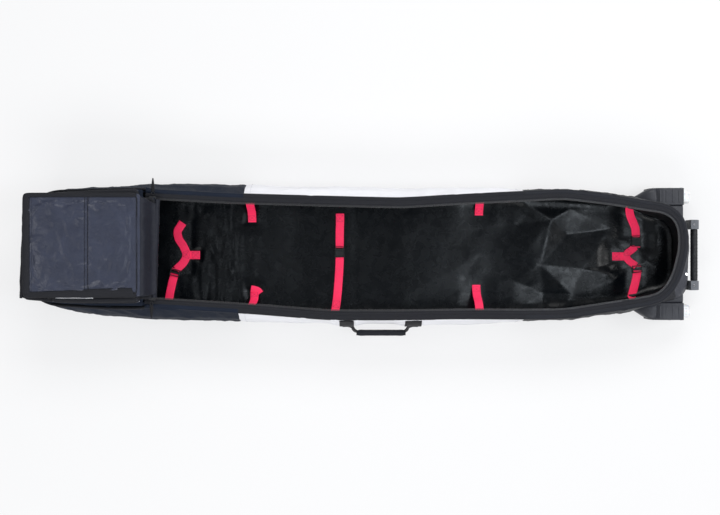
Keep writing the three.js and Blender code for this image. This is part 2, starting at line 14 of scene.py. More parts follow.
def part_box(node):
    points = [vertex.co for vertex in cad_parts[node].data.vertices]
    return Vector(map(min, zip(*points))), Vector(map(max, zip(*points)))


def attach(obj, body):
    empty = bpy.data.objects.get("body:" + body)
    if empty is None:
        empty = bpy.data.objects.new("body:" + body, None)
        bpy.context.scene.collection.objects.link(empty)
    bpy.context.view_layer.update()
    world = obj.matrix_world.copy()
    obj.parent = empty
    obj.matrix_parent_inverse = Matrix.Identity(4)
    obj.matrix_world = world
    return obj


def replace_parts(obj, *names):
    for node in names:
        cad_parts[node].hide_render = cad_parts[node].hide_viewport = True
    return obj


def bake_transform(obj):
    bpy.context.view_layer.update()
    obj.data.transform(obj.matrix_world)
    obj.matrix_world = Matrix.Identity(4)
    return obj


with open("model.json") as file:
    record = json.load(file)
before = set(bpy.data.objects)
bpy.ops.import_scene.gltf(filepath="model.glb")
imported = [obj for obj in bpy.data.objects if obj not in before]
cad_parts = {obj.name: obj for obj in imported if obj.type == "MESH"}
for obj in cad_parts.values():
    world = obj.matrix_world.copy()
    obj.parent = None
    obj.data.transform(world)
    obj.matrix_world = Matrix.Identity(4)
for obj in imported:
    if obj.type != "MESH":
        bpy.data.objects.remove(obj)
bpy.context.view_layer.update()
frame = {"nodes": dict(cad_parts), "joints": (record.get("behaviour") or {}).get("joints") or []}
nodes = frame["nodes"]

# ---- Places taken from the frame -------------------------------------------------------------------
HOOD_LOW, HOOD_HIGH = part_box("tail_hood")
HOOD_Z = HOOD_LOW.z  # underside of the hood and of the closed lid
HOOD_FRONT = HOOD_HIGH.x
RIM_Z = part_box("side_wall_left_middle")[1].z
SHOULDER_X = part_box("side_wall_left_tail")[0].x  # the zip starts here
SPLIT_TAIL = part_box("side_wall_left_middle")[0].x
SPLIT_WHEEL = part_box("side_wall_left_middle")[1].x
SIDE_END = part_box("side_wall_left_wheel")[1].x
FLOOR_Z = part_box("floor_lining")[1].z
BAND_WIDTH = 0.022
TRACK_OFFSET = 0.0253  # from the rim's outer edge to the middle of the zip coil


# ---- Numbers ---------------------------------------------------------------------------------------
def smoothstep(low, high, value):
    t = np.clip((value - low) / (high - low), 0, 1)
    return t * t * (3 - 2 * t)


def bump_at(value, centre, width):
    return np.exp(-(((value - centre) / width) ** 2))


def perlin(points, seed):
    """Gradient noise at each row of points, from about -1 to 1."""
    rng = np.random.default_rng(seed)
    table = rng.permutation(256)
    gradients = rng.normal(size=(256, 3))
    gradients /= np.linalg.norm(gradients, axis=1)[:, None]
    cell = np.floor(points).astype(int)
    local = points - cell
    fade = local**3 * (local * (local * 6 - 15) + 10)
    total = np.zeros(len(points))
    for corner in itertools.product((0, 1), repeat=3):
        index = (cell + corner) & 255
        row = table[(table[(table[index[:, 0]] + index[:, 1]) & 255] + index[:, 2]) & 255]
        dot = ((local - corner) * gradients[row]).sum(1)
        total += dot * np.prod(np.where(corner, fade, 1 - fade), axis=1)
    return total * 1.7


def fractal(points, scale, seed, octaves=3):
    total = np.zeros(len(points))
    for k in range(octaves):
        total += perlin(points / scale * 2**k, seed + k) / 2**k
    return total


def creases(points, scale, seed, sharp=3):
    """A net of thin ridges such as crumpled cloth has, from 0 to 1."""
    q = points / scale
    shift = np.stack([perlin(q * 0.6 + 9.1 * k, seed + 5 + k) for k in range(3)], axis=1)
    return np.clip(1 - np.abs(perlin(q + 0.7 * shift, seed)) * 1.6, 0, 1) ** sharp


def smooth_loop(values, sigma):
    """Gaussian smoothing along the first axis of a closed loop."""
    reach = int(3 * sigma) + 1
    steps = np.arange(-reach, reach + 1)
    weights = np.exp(-0.5 * (steps / sigma) ** 2)
    weights /= weights.sum()
    return sum(w * np.roll(values, k, axis=0) for w, k in zip(weights, steps))


def distances(path):
    """Distance along path at each of its points."""
    return np.concatenate([[0], np.cumsum(np.linalg.norm(np.diff(path, axis=0), axis=1))])


def interpolated(at, far, values):
    """The rows of values, known at the distances far, at one or more other distances."""
    return np.stack([np.interp(at, far, column) for column in np.asarray(values).T], axis=-1)


def catmull(points, count):
    """count points along a smooth curve through the given ones, evenly spaced."""
    p = np.array([points[0], *points, points[-1]], float)
    fine = []
    for k in range(1, len(p) - 2):
        for t in np.linspace(0, 1, 24, endpoint=False):
            a, b, c, d = p[k - 1 : k + 3]
            square = 2 * a - 5 * b + 4 * c - d
            cube = 3 * b - a - 3 * c + d
            fine.append(0.5 * (2 * b + (c - a) * t + square * t**2 + cube * t**3))
    fine = np.array([*fine, p[-2]])
    far = distances(fine)
    return interpolated(np.linspace(0, far[-1], count), far, fine)


# ---- Meshes ----------------------------------------------------------------------------------------
def piece(name, vertices, faces, materials, body="bag_body", uv=None, smooth=True):
    mesh = bpy.data.meshes.new(name)
    mesh.from_pydata([tuple(map(float, v)) for v in vertices], [], [tuple(map(int, f)) for f in faces])
    for item in materials if isinstance(materials, list) else [materials]:
        mesh.materials.append(item)
    if uv is not None:
        layer = mesh.uv_layers.new(name="UVMap")
        index = np.zeros(len(mesh.loops), int)
        mesh.loops.foreach_get("vertex_index", index)
        layer.data.foreach_set("uv", np.asarray(uv, float)[index].ravel())
    mesh.polygons.foreach_set("use_smooth", [smooth] * len(mesh.polygons))
    mesh.update()
    obj = bpy.data.objects.new(name, mesh)
    bpy.context.scene.collection.objects.link(obj)
    if body:
        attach(obj, body)
    return obj


def grid_faces(columns, rows, close_columns=False, close_rows=False, start=0):
    faces = []
    for i in range(columns if close_columns else columns - 1):
        for j in range(rows if close_rows else rows - 1):
            a = i * rows + j
            b = i * rows + (j + 1) % rows
            c = ((i + 1) % columns) * rows + (j + 1) % rows
            d = ((i + 1) % columns) * rows + j
            faces.append((start + a, start + d, start + c, start + b))
    return faces


def closed_tube_faces(columns, sides):
    last = (columns - 1) * sides
    ends = [tuple(range(sides)), tuple(last + k for k in reversed(range(sides)))]
    return grid_faces(columns, sides, close_rows=True) + ends


def grid_uv(along, across):
    """UVs of a grid in metres, from the places of its columns and of its rows."""
    return np.stack([np.repeat(along, len(across)), np.tile(across, len(along))], axis=1)


def thicken(obj, thickness, offset=-1):
    solid = obj.modifiers.new("thickness", "SOLIDIFY")
    solid.thickness = thickness
    solid.offset = offset


def tube(name, path, radius, material, body="bag_body", sides=8):
    """A round cord or piping along the points of path."""
    path = np.asarray(path, float)
    along = np.gradient(path, axis=0)
    along /= np.linalg.norm(along, axis=1)[:, None]
    side = np.cross(along, (0, 0, 1.0))
    weak = np.linalg.norm(side, axis=1) < 1e-3
    side[weak] = np.cross(along[weak], (0, 1.0, 0))
    side /= np.linalg.norm(side, axis=1)[:, None]
    up = np.cross(side, along)
    turn = np.linspace(0, 2 * math.pi, sides, endpoint=False)
    ring = side[:, None] * np.cos(turn)[None, :, None] + up[:, None] * np.sin(turn)[None, :, None]
    vertices = (path[:, None] + ring * radius).reshape(-1, 3)
    faces = closed_tube_faces(len(path), sides)
    return piece(name, vertices, faces, material, body, grid_uv(distances(path), turn * radius))


def slab(name, outline, low, high, material, body="bag_body", bevel=0.0, matrix=None):
    """A plate with the given plan outline, its edges rounded by a bevel."""
    count = len(outline)
    vertices = [(x, y, low) for x, y in outline] + [(x, y, high) for x, y in outline]
    faces = [tuple(reversed(range(count))), tuple(range(count, 2 * count))]
    faces += [(k, (k + 1) % count, count + (k + 1) % count, count + k) for k in range(count)]
    if matrix is not None:
        vertices = [matrix @ Vector(v) for v in vertices]
    obj = piece(name, vertices, faces, material, body, smooth=False)
    if bevel:
        rounded(obj, bevel)
    return obj


def rounded(obj, width, smooth=True):
    """Rounds the edges of obj by modifiers."""
    bevel = obj.modifiers.new("bevel", "BEVEL")
    bevel.width = width
    bevel.segments = 3
    bevel.limit_method = "ANGLE"
    bevel.angle_limit = math.radians(35)
    if smooth:
        for polygon in obj.data.polygons:
            polygon.use_smooth = True
    normals = obj.modifiers.new("normals", "WEIGHTED_NORMAL")
    normals.keep_sharp = True
    return obj


THREAD_RADIUS = 0.0004
THREAD_RISE = 0.0005


def threads(name, path, normal, material, body="bag_body", pitch=0.0042, length=0.003):
    """A row of stitches along path, each a small raised thread."""
    path = np.asarray(path, float)
    normal = np.broadcast_to(np.asarray(normal, float), path.shape)
    far = distances(path)
    vertices = []
    faces = []
    for start in np.arange(0, far[-1] - length, pitch):
        first = interpolated(start, far, path)
        last = interpolated(start + length, far, path)
        up = interpolated(start, far, normal)
        side = np.cross((last - first) / (np.linalg.norm(last - first) + 1e-12), up)
        base = len(vertices)
        for at, lift in ((first, 0), ((first + last) / 2, THREAD_RISE), (last, 0)):
            vertices += [at - side * THREAD_RADIUS + up * lift, at + side * THREAD_RADIUS + up * lift]
        faces += [(base, base + 1, base + 3, base + 2), (base + 2, base + 3, base + 5, base + 4)]
    return piece(name, vertices, faces, material, body, smooth=False)


# ---- Materials -------------------------------------------------------------------------------------
class Shader:
    """A Principled material with short calls for the nodes that this scene uses."""

    def __init__(self, name, color, roughness, **sockets):
        self.material = bpy.data.materials.new(name)
        self.material.use_nodes = True
        self.tree = self.material.node_tree
        self.principled = self.tree.nodes["Principled BSDF"]
        self.color = color
        self.set(self.principled, Roughness=roughness, **{"Base Color": (*color, 1)})
        self.set(self.principled, **sockets)
        self.height = None

    def set(self, node, **values):
        for name, value in values.items():
            node.inputs[name.replace("_", " ")].default_value = value

    def add(self, kind, links=(), **values):
        node = self.tree.nodes.new(kind)
        self.set(node, **values)
        for socket, source in links:
            self.tree.links.new(source, node.inputs[socket])
        return node

    def place(self, source="Object", scale=(1, 1, 1)):
        coordinates = self.add("ShaderNodeTexCoord")
        mapping = self.add("ShaderNodeMapping", [("Vector", coordinates.outputs[source])])
        mapping.inputs["Scale"].default_value = scale
        return mapping.outputs["Vector"]

    def noise(self, vector, scale, detail=3.0, distortion=0.0):
        node = self.add("ShaderNodeTexNoise", [("Vector", vector)])
        self.set(node, Scale=scale, Detail=detail, Distortion=distortion)
        return node.outputs["Fac"]

    def wave(self, vector, pitch, axis):
        node = self.add("ShaderNodeTexWave", [("Vector", vector)])
        node.bands_direction = axis
        # one band of this texture is 2 pi / 20 units wide
        self.set(node, Scale=2 * math.pi / 20 / pitch)
        return node.outputs["Fac"]

    def math(self, operation, a, b):
        node = self.tree.nodes.new("ShaderNodeMath")
        node.operation = operation
        for socket, value in zip(node.inputs, (a, b)):
            if isinstance(value, (int, float)):
                socket.default_value = value
            else:
                self.tree.links.new(value, socket)
        return node.outputs[0]

    def mix(self, first, share, second):
        """Share of the first value, and the rest of the second."""
        return self.math("ADD", self.math("MULTIPLY", first, share), self.math("MULTIPLY", second, 1 - share))

    def ramp(self, value, low, high):
        node = self.tree.nodes.new("ShaderNodeMapRange")
        self.tree.links.new(value, node.inputs["Value"])
        self.set(node, **{"From Min": 0.3, "From Max": 0.7, "To Min": low, "To Max": high})
        return node.outputs[0]

    def tint(self, value, dark, light):
        node = self.tree.nodes.new("ShaderNodeValToRGB")
        self.tree.links.new(value, node.inputs["Fac"])
        for element, share in zip(node.color_ramp.elements, (dark, light)):
            element.color = (*[min(c * share, 1) for c in self.color], 1)
        node.color_ramp.elements[0].position = 0.32
        node.color_ramp.elements[1].position = 0.68
        self.tree.links.new(node.outputs["Color"], self.principled.inputs["Base Color"])

    def roughness(self, value):
        self.tree.links.new(value, self.principled.inputs["Roughness"])

    def relief(self, height, distance, strength=1.0):
        node = self.add("ShaderNodeBump", [("Height", height)])
        self.set(node, Distance=distance, Strength=strength)
        if self.height is not None:
            self.tree.links.new(self.height, node.inputs["Normal"])
        self.height = node.outputs["Normal"]
        self.tree.links.new(self.height, self.principled.inputs["Normal"])


def woven(name, color, roughness, source="Object", crumple=0.0012, uneven=(0.78, 1.2), **sockets):
    """Woven polyester: warp and weft, uneven dye, soft dents."""
    pitch = 0.0011
    shader = Shader(name, color, roughness, **sockets)
    vector = shader.place(source)
    other = "Y" if source == "UV" else "DIAGONAL"
    first = shader.wave(vector, pitch, "X")
    second = shader.wave(vector, pitch, other)
    weave = shader.math("MAXIMUM", first, second)
    soft = shader.noise(vector, 14, 4, 0.6)
    fine = shader.noise(vector, 900, 2)
    shader.tint(shader.mix(soft, 0.7, fine), *uneven)
    shader.roughness(shader.ramp(soft, roughness - 0.08, roughness + 0.08))
    shader.relief(shader.noise(vector, 22, 5, 1.2), crumple)
    shader.relief(weave, 0.00022, 0.6)
    return shader.material


def coated(name, color, roughness, crumple=0.002, scale=26, **sockets):
    """Shiny coated lining with soft creases and a faint ripstop grid."""
    shader = Shader(name, color, roughness, **sockets)
    vector = shader.place("Object")
    large = shader.noise(vector, scale, 1.5, 1.4)
    folds = shader.math("ABSOLUTE", shader.math("SUBTRACT", large, 0.5), 0)
    small = shader.noise(vector, scale * 4, 2, 0.6)
    grid = shader.math("MAXIMUM", shader.wave(vector, 0.0026, "X"), shader.wave(vector, 0.0026, "Y"))
    shader.tint(shader.noise(vector, scale * 0.7, 4, 1.0), 0.9, 1.12)
    shader.roughness(shader.ramp(small, roughness - 0.05, roughness + 0.07))
    shader.relief(folds, crumple)
    shader.relief(small, crumple * 0.12)
    shader.relief(grid, 0.00008, 0.4)
    return shader.material


def ribbed(name, color, roughness, pitch=0.0016, **sockets):
    """Webbing, tape or thread: ribs across the UV's length and a little uneven dye."""
    shader = Shader(name, color, roughness, **sockets)
    vector = shader.place("UV")
    ribs = shader.wave(vector, pitch, "X")
    yarn = shader.wave(vector, pitch * 0.9, "Y")
    herringbone = shader.math("MULTIPLY", ribs, shader.math("ADD", shader.math("MULTIPLY", yarn, 0.5), 0.5))
    shade = shader.noise(vector, 60, 4)
    shader.tint(shader.mix(herringbone, 0.45, shade), 0.72, 1.18)
    shader.roughness(shader.ramp(shade, roughness - 0.06, roughness + 0.1))
    shader.relief(herringbone, 0.00035, 0.9)
    shader.relief(shade, 0.0006, 0.5)
    return shader.material


def moulded(name, color, roughness, grain=700, **sockets):
    """Moulded plastic with a fine spark grain and slight scuffs."""
    shader = Shader(name, color, roughness, **sockets)
    vector = shader.place("Object")
    fine = shader.noise(vector, grain, 2)
    scuff = shader.noise(vector, 35, 6, 1.5)
    shader.tint(shader.mix(scuff, 0.6, fine), 0.82, 1.22)
    shader.roughness(shader.ramp(scuff, roughness - 0.1, roughness + 0.12))
    shader.relief(fine, 0.00012, 0.6)
    return shader.material


def metal(name, color, roughness):
    shader = Shader(name, color, roughness, Metallic=1.0)
    vector = shader.place("Object", scale=(1, 8, 1))
    lines = shader.noise(vector, 320, 4)
    shader.tint(lines, 0.85, 1.1)
    shader.roughness(shader.ramp(lines, roughness - 0.08, roughness + 0.1))
    shader.relief(lines, 0.00008, 0.5)
    return shader.material


NAVY = (0.0078, 0.0115, 0.0215)
BLACK = (0.0095, 0.0105, 0.0145)
WHITE = (0.73, 0.73, 0.76)
CLOTH = {"Specular IOR Level": 0.16, "Sheen Weight": 0.03}
DULL_CLOTH = {"Specular IOR Level": 0.09, "Sheen Weight": 0.01}
navy_fabric = woven("navy_fabric", NAVY, 0.6, source="UV", **DULL_CLOTH)
white_fabric = woven("white_fabric", WHITE, 0.55, source="UV", crumple=0.0008, uneven=(0.95, 1.04))
black_fabric = woven("black_fabric", BLACK, 0.6, source="UV", **CLOTH)
end_fabric = woven("end_fabric", (0.034, 0.036, 0.046), 0.5, source="UV", **CLOTH)
flat_navy = woven("navy_fabric_flat", NAVY, 0.6, **DULL_CLOTH)
flat_white = woven("white_fabric_flat", WHITE, 0.55, crumple=0.0008, uneven=(0.95, 1.04))
flat_black = woven("black_fabric_flat", BLACK, 0.6, **CLOTH)
COATING = {"Specular IOR Level": 0.17}
FINE_COATING = {"Specular IOR Level": 0.29}
lid_lining = coated("lid_lining", (0.0215, 0.0255, 0.0435), 0.39, crumple=0.0024, scale=24, **FINE_COATING)
# painted shade: a darker copy of the lid lining for the sloping cloth at the lid's front folds, the same
# lining lying tilted in shade
slope_lining_painted_shade = coated("slope_lining_painted_shade", (0.0100, 0.0112, 0.0175), 0.5, crumple=0.0012, scale=24, **CLOTH)
floor_lining = coated("floor_lining", (0.0014, 0.0022, 0.0032), 0.26, crumple=0.0004, scale=11, **COATING)
wall_lining = coated("wall_lining", (0.0022, 0.0030, 0.0040), 0.5, crumple=0.0012, scale=14, **CLOTH)
binding = ribbed("binding", (0.0115, 0.012, 0.0155), 0.68, pitch=0.0022, **CLOTH)
# painted shade: a near-black cord material laid along the lid's seams as the shadow line of their grooves
seam_shadow_cord = ribbed("seam_shadow_cord", (0.006, 0.006, 0.009), 0.8, **CLOTH)
zip_plastic = moulded("zip_plastic", (0.010, 0.010, 0.012), 0.45, grain=400)
# painted light: the red webbing is given a faint red emission, a glow that lifts the straps lying in the
# bag's shade
RED_PAINTED_GLOW = {"Sheen Weight": 0.05, "Emission Color": (1.0, 0.02, 0.12, 1), "Emission Strength": 0.18}
red_webbing = ribbed("red_webbing", (0.95, 0.012, 0.09), 0.6, **RED_PAINTED_GLOW)
red_thread = ribbed("red_thread", (0.5, 0.006, 0.045), 0.6)
black_webbing = ribbed("black_webbing", (0.010, 0.010, 0.012), 0.6, **CLOTH)
black_thread = ribbed("black_thread", (0.03, 0.032, 0.04), 0.6, **CLOTH)
white_thread = ribbed("white_thread", (0.62, 0.62, 0.66), 0.6)
black_plastic = moulded("black_plastic", (0.007, 0.0075, 0.009), 0.5, **{"Specular IOR Level": 0.3})
grey_plastic = moulded("grey_plastic", (0.085, 0.092, 0.105), 0.5)
housing_plastic = moulded("housing_plastic", (0.014, 0.0155, 0.022), 0.55)
wheel_plastic = moulded("wheel_plastic", (0.70, 0.70, 0.71), 0.5, grain=300, **{"Subsurface Weight": 0.1})
steel = metal("steel", (0.55, 0.55, 0.57), 0.3)


# ---- The wall all the way round --------------------------------------------------------------------
# The CAD walls are sampled on a loop of columns that starts at the left shoulder and runs to the wheel
# end, round it and back, and round the tail. Each column is a vertical line of samples.
PITCH = 0.006
FAN_X = 0.86  # beyond this, at either end, the columns fan out around a point on the middle line
RAY_LENGTH = 0.5
THICKEST = 0.03  # a ray that finds more than this between the wall's two faces missed one of them


def loop_rays():
    origins = []
    ways = []

    def side(start, end, sign):
        count = int(abs(end - start) / PITCH)
        for x in np.linspace(start, end, count, endpoint=False):
            origins.append((x, 0.0))
            ways.append((0.0, sign))

    def fan(x, first, turns, count):
        for a in np.linspace(first, first - turns, count, endpoint=False):
            origins.append((x, 0.0))
            ways.append((math.cos(a), math.sin(a)))

    side(SHOULDER_X, FAN_X, 1.0)
    fan(FAN_X, math.pi / 2, math.pi, 70)
    side(FAN_X, -FAN_X, -1.0)
    fan(-FAN_X, -math.pi / 2, math.pi, 80)
    side(-FAN_X, SHOULDER_X, 1.0)
    return np.array(origins), np.array(ways)


ORIGINS, WAYS = loop_rays()
COLUMNS = len(ORIGINS)
ROWS = 30
SHARE = np.linspace(0, 1, ROWS)


def wall_samples():
    """Distance from each column's origin to the wall's outside and inside at each row."""
    vertices = []
    faces = []
    for name, node in nodes.items():
        if "wall" in name:
            start = len(vertices)
            vertices += [v.co.copy() for v in node.data.vertices]
            faces += [tuple(start + k for k in p.vertices) for p in node.data.polygons]
    tree = BVHTree.FromPolygons(vertices, faces)
    heights = 0.009 + SHARE * (RIM_Z - 0.012)
    outside = np.full((COLUMNS, ROWS), np.nan)
    inside = np.full((COLUMNS, ROWS), np.nan)
    for i, (origin, way) in enumerate(zip(ORIGINS, WAYS)):
        for j, z in enumerate(heights):
            start = Vector((*origin, z))
            direction = Vector((*way, 0))
            near = tree.ray_cast(start, direction)
            far = tree.ray_cast(start + direction * RAY_LENGTH, -direction)
            if near[0] is None or far[0] is None or RAY_LENGTH - far[3] - near[3] >= THICKEST:
                continue
            inside[i, j] = near[3]
            outside[i, j] = RAY_LENGTH - far[3]
    at = np.arange(COLUMNS)
    for values in (outside, inside):
        for j in range(ROWS):
            known = ~np.isnan(values[:, j])
            values[:, j] = np.interp(at, at[known], values[known, j], period=COLUMNS)
    return outside, inside


OUTSIDE, INSIDE = wall_samples()
OUTSIDE = smooth_loop(OUTSIDE, 4)
INSIDE = smooth_loop(INSIDE, 4)
RIM_X = ORIGINS[:, 0] + WAYS[:, 0] * OUTSIDE[:, -1]
RIM_Y = WAYS[:, 1] * OUTSIDE[:, -1]
STEPS = np.hypot(RIM_X - np.roll(RIM_X, 1), RIM_Y - np.roll(RIM_Y, 1))
STEPS[0] = 0
ALONG = np.cumsum(STEPS)  # distance round the rim
LEFT = WAYS[:, 1] > 0
OPEN = smoothstep(SHOULDER_X - 0.012, SHOULDER_X + 0.02, RIM_X)  # 1 where the rim is open
TOP_Z = RIM_Z + (1 - OPEN) * (HOOD_Z - RIM_Z - 0.001)


def loop_points(distance, z):
    """Points on every column at the given distance from its origin; distance and z are per column."""
    x = ORIGINS[:, 0] + WAYS[:, 0] * distance
    y = WAYS[:, 1] * distance
    return np.stack([x, y, np.broadcast_to(z, x.shape)], axis=1)


def columns_between(first, last):
    """Column numbers from first up to and including last, passing the loop's end if need be."""
    if last < first:
        last += COLUMNS
    return np.arange(first, last + 1) % COLUMNS


def column_at(x, left):
    """Number of the column on the straight stretch of that side whose rim is nearest to x."""
    away = np.where((LEFT == left) & (np.abs(WAYS[:, 0]) <= 1e-6), np.abs(RIM_X - x), np.inf)
    return int(np.argmin(away))


# ---- Outer shell -----------------------------------------------------------------------------------
SEAM_TAIL = {True: SPLIT_TAIL + 0.002, False: SPLIT_TAIL - 0.012}
SEAM_WHEEL = {True: SPLIT_WHEEL, False: SPLIT_WHEEL + 0.002}


def shell_relief(points):
    """How far the fabric stands out of, or sinks into, the smooth wall."""
    x, y, z = points.T
    height = np.clip(z / RIM_Z, 0, 1)
    slack = 0.0035 * fractal(points, 0.24, 11, 2)
    stretched = points * (1, 1, 0.3)
    folds = 0.0042 * creases(stretched, 0.11, 21, 2) * height**1.5
    diagonal = np.stack([x + 0.7 * z, y, z * 0.5], axis=1)
    drag = 0.003 * creases(diagonal, 0.075, 31, 3) * (0.35 + 0.65 * bump_at(np.abs(x), 0.75, 0.25))
    small = 0.0009 * fractal(points, 0.02, 41, 2)
    relief = slack + folds + drag + small - 0.003
    for seams in (SEAM_TAIL, SEAM_WHEEL):
        at = np.where(y > 0, seams[True], seams[False])
        relief -= 0.0022 * bump_at(x, at, 0.005) * (np.abs(y) > 0.1)
        relief += 0.0012 * fractal(points * (0.3, 1, 1), 0.016, 51, 1) * bump_at(x, at, 0.03)
    by_wheel = smoothstep(0.835, 0.865, x) * smoothstep(0.125, 0.105, z) * (np.abs(y) > 0.1)
    by_handle = bump_at(x, 0.06, 0.13) * (y < -0.1) * bump_at(z, 0.105, 0.05)
    by_bar = smoothstep(0.95, 0.965, x) * bump_at(z, 0.11, 0.05)
    calm = np.clip(by_wheel + by_handle + by_bar, 0, 1)
    corner = bump_at(x, 0.945, 0.05) * bump_at(y, -0.105, 0.045) * smoothstep(0.19, 0.15, z)
    relief = relief * (1 - calm) - 0.0012 * calm + 0.010 * corner
    for word in ("tail", "wheel"):
        low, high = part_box(f"side_handle_patch_{word}")
        across = smoothstep(low.x - 0.045, low.x - 0.004, x) * smoothstep(high.x + 0.045, high.x + 0.004, x)
        share = across * smoothstep(0.03, 0.085, z) * smoothstep(0.20, 0.125, z) * (y < -0.1)
        relief += (np.abs(high.y) + 0.0006 - np.abs(y) - relief) * share
    return relief


def shell_grid(columns):
    """Vertices, rows per column and UVs of the outer shell on the given columns."""
    rings = [(0.014, 0.0045, 0), (0.003, 0.0062, 0)]
    rings += [(0.0, None, j) for j in range(ROWS)]
    rings += [(0.005, -0.0008, ROWS - 1), (0.014, -0.0035, ROWS - 1)]
    levels = []
    for k, (inward, lift, j) in enumerate(rings):
        if lift is None:
            z = 0.0075 + SHARE[j] * (TOP_Z - 0.0075)
        elif k < 2:
            z = np.full(COLUMNS, lift)
        else:
            z = TOP_Z + lift
        levels.append(loop_points(OUTSIDE[:, j] - inward, z))
    points = np.stack(levels, axis=1)[columns]
    flat = points.reshape(-1, 3)
    way = np.repeat(WAYS[columns], len(rings), axis=0)
    push = shell_relief(flat)
    flat[:, :2] += way * push[:, None]
    edge = np.tile([0.2, 0.4, *[1] * ROWS, 0.7, 0.3], len(columns))
    flat[:, 2] += 0.0022 * perlin(flat * (9, 9, 0), 61) * edge * smoothstep(0.1, 0.19, flat[:, 2])
    far = np.unwrap(ALONG[columns], period=ALONG[-1])
    down = np.concatenate([[-0.014, -0.003], SHARE * RIM_Z, [RIM_Z + 0.005, RIM_Z + 0.014]])
    uv = np.stack([np.repeat(far, len(rings)), np.tile(down, len(columns))], axis=1)
    return flat, len(rings), uv


def build_shell():
    tail_left = column_at(SEAM_TAIL[True], True)
    tail_right = column_at(SEAM_TAIL[False], False)
    wheel_left = column_at(SEAM_WHEEL[True], True)
    wheel_right = column_at(SEAM_WHEEL[False], False)
    fan = np.flatnonzero((RIM_X > FAN_X) & (np.abs(RIM_Y) < 0.105))
    end_left, end_right = int(fan[0]), int(fan[-1])
    parts = [
        ("shell_tail", tail_right, tail_left, navy_fabric, "shell_navy",
         ["tail_end_wall", "side_wall_left_tail", "side_wall_right_tail"]),
        ("shell_middle_left", tail_left, wheel_left, white_fabric, "shell_white", ["side_wall_left_middle"]),
        ("shell_left_wheel", wheel_left, end_left, black_fabric, "shell_black", ["side_wall_left_wheel"]),
        ("shell_wheel_end", end_left, end_right, end_fabric, "shell_black", ["wheel_end_wall"]),
        ("shell_right_wheel", end_right, wheel_right, black_fabric, "shell_black", ["side_wall_right_wheel"]),
        ("shell_middle_right", wheel_right, tail_right, white_fabric, "shell_white",
         ["side_wall_right_middle"]),
    ]
    for name, first, last, fabric, slot, replaced in parts:
        columns = columns_between(first, last)
        vertices, rows, uv = shell_grid(columns)
        shell = piece(name, vertices, grid_faces(len(columns), rows), fabric, uv=uv)
        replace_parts(shell, *replaced)
        for k, column in enumerate((first, last)):
            seam_line(f"{name}_stitches_{k}", column, 3 if k == 0 else -3, slot)


def seam_line(name, column, step, slot):
    """A row of stitches down the shell beside a seam."""
    at = (column + step) % COLUMNS
    vertices, rows, _ = shell_grid(np.array([at]))
    path = vertices[4 : rows - 3]
    outward = np.array([*WAYS[at], 0.0])
    thread = white_thread if slot == "shell_white" else black_thread
    threads(name, path + outward * 0.0008, outward, thread)


def build_piping():
    """Piping round the foot of the wall and round the hood's edge."""
    foot = loop_points(OUTSIDE[:, 0] + 0.001, 0.0058)
    columns = np.arange(0, COLUMNS + 1) % COLUMNS
    tube("foot_piping", foot[columns], 0.0032, binding)
    hood_columns = columns_between(column_at(SHOULDER_X, False), column_at(SHOULDER_X + 0.004, True))
    hood_edge = loop_points(OUTSIDE[:, -1] + 0.0005, HOOD_Z + 0.0005)[hood_columns]
    tube("hood_piping", hood_edge, 0.0032, binding)


# ---- Linings ---------------------------------------------------------------------------------------
STRAP_NODES = [n for n in nodes if "strap" in n or "buckle" in n]


def clear_of_straps(x, y, margin=0.05):
    free = np.ones(len(x))
    for name in STRAP_NODES:
        low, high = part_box(name)
        inside = smoothstep(low.x - margin, low.x, x) * smoothstep(high.x + margin, high.x, x)
        inside *= smoothstep(low.y - margin, low.y, y) * smoothstep(high.y + margin, high.y, y)
        free = np.minimum(free, 1 - inside)
    return free


def facets(x, y, spacing, height, seed, stretch=1.0):
    """Crumpled stiff cloth: flat three-sided patches between corners at random heights up to height."""
    rng = np.random.default_rng(seed)
    grid_x, grid_y = np.meshgrid(np.arange(-1.1, 1.15, spacing * stretch), np.arange(-0.35, 0.36, spacing))
    corners = np.stack([grid_x.ravel(), grid_y.ravel()], axis=1)
    corners += rng.uniform(-0.42, 0.42, corners.shape) * (spacing * stretch, spacing)
    rises = rng.uniform(0, height, len(corners))
    flat, _, patches, sources, *_ = delaunay_2d_cdt([Vector(c) for c in corners], [], [], 0, 1e-7)
    flat = np.array(flat)
    rises = np.array([rises[source[0]] for source in sources])
    result = np.full(len(x), height / 2)
    for patch in patches:
        (ax, ay), (bx, by), (cx, cy) = flat[patch]
        area = (bx - ax) * (cy - ay) - (cx - ax) * (by - ay)
        near_b = ((x - ax) * (cy - ay) - (cx - ax) * (y - ay)) / area
        near_c = ((bx - ax) * (y - ay) - (x - ax) * (by - ay)) / area
        inside = (near_b >= 0) & (near_c >= 0) & (near_b + near_c <= 1)
        a, b, c = rises[patch]
        result[inside] = (a + (b - a) * near_b + (c - a) * near_c)[inside]
    return result


def floor_relief(x, y):
    """Height of the crumpled floor lining above its board."""
    flat = np.stack([x, y, np.zeros(len(x))], axis=1)
    busy = 0.14 + 0.9 * smoothstep(0.38, 0.55, x) + 0.05 * smoothstep(-0.33, -0.42, x)
    broad = facets(x, y, 0.085, 0.0150, 71, 1.15)
    narrow = facets(x, y, 0.045, 0.0022, 72)
    across = 0.0032 * (1 + creases(flat * (1, 0.17, 0), 0.026, 73, 2)) * bump_at(x, -0.43, 0.09)
    soft = 0.0015 * fractal(flat, 0.2, 95, 2)
    height = 0.001 + (broad + narrow) * busy + soft
    height = np.maximum(height, 0) * (0.05 + 0.95 * clear_of_straps(x, y))
    return height + across * clear_of_straps(x, y, 0.014) + 0.0003


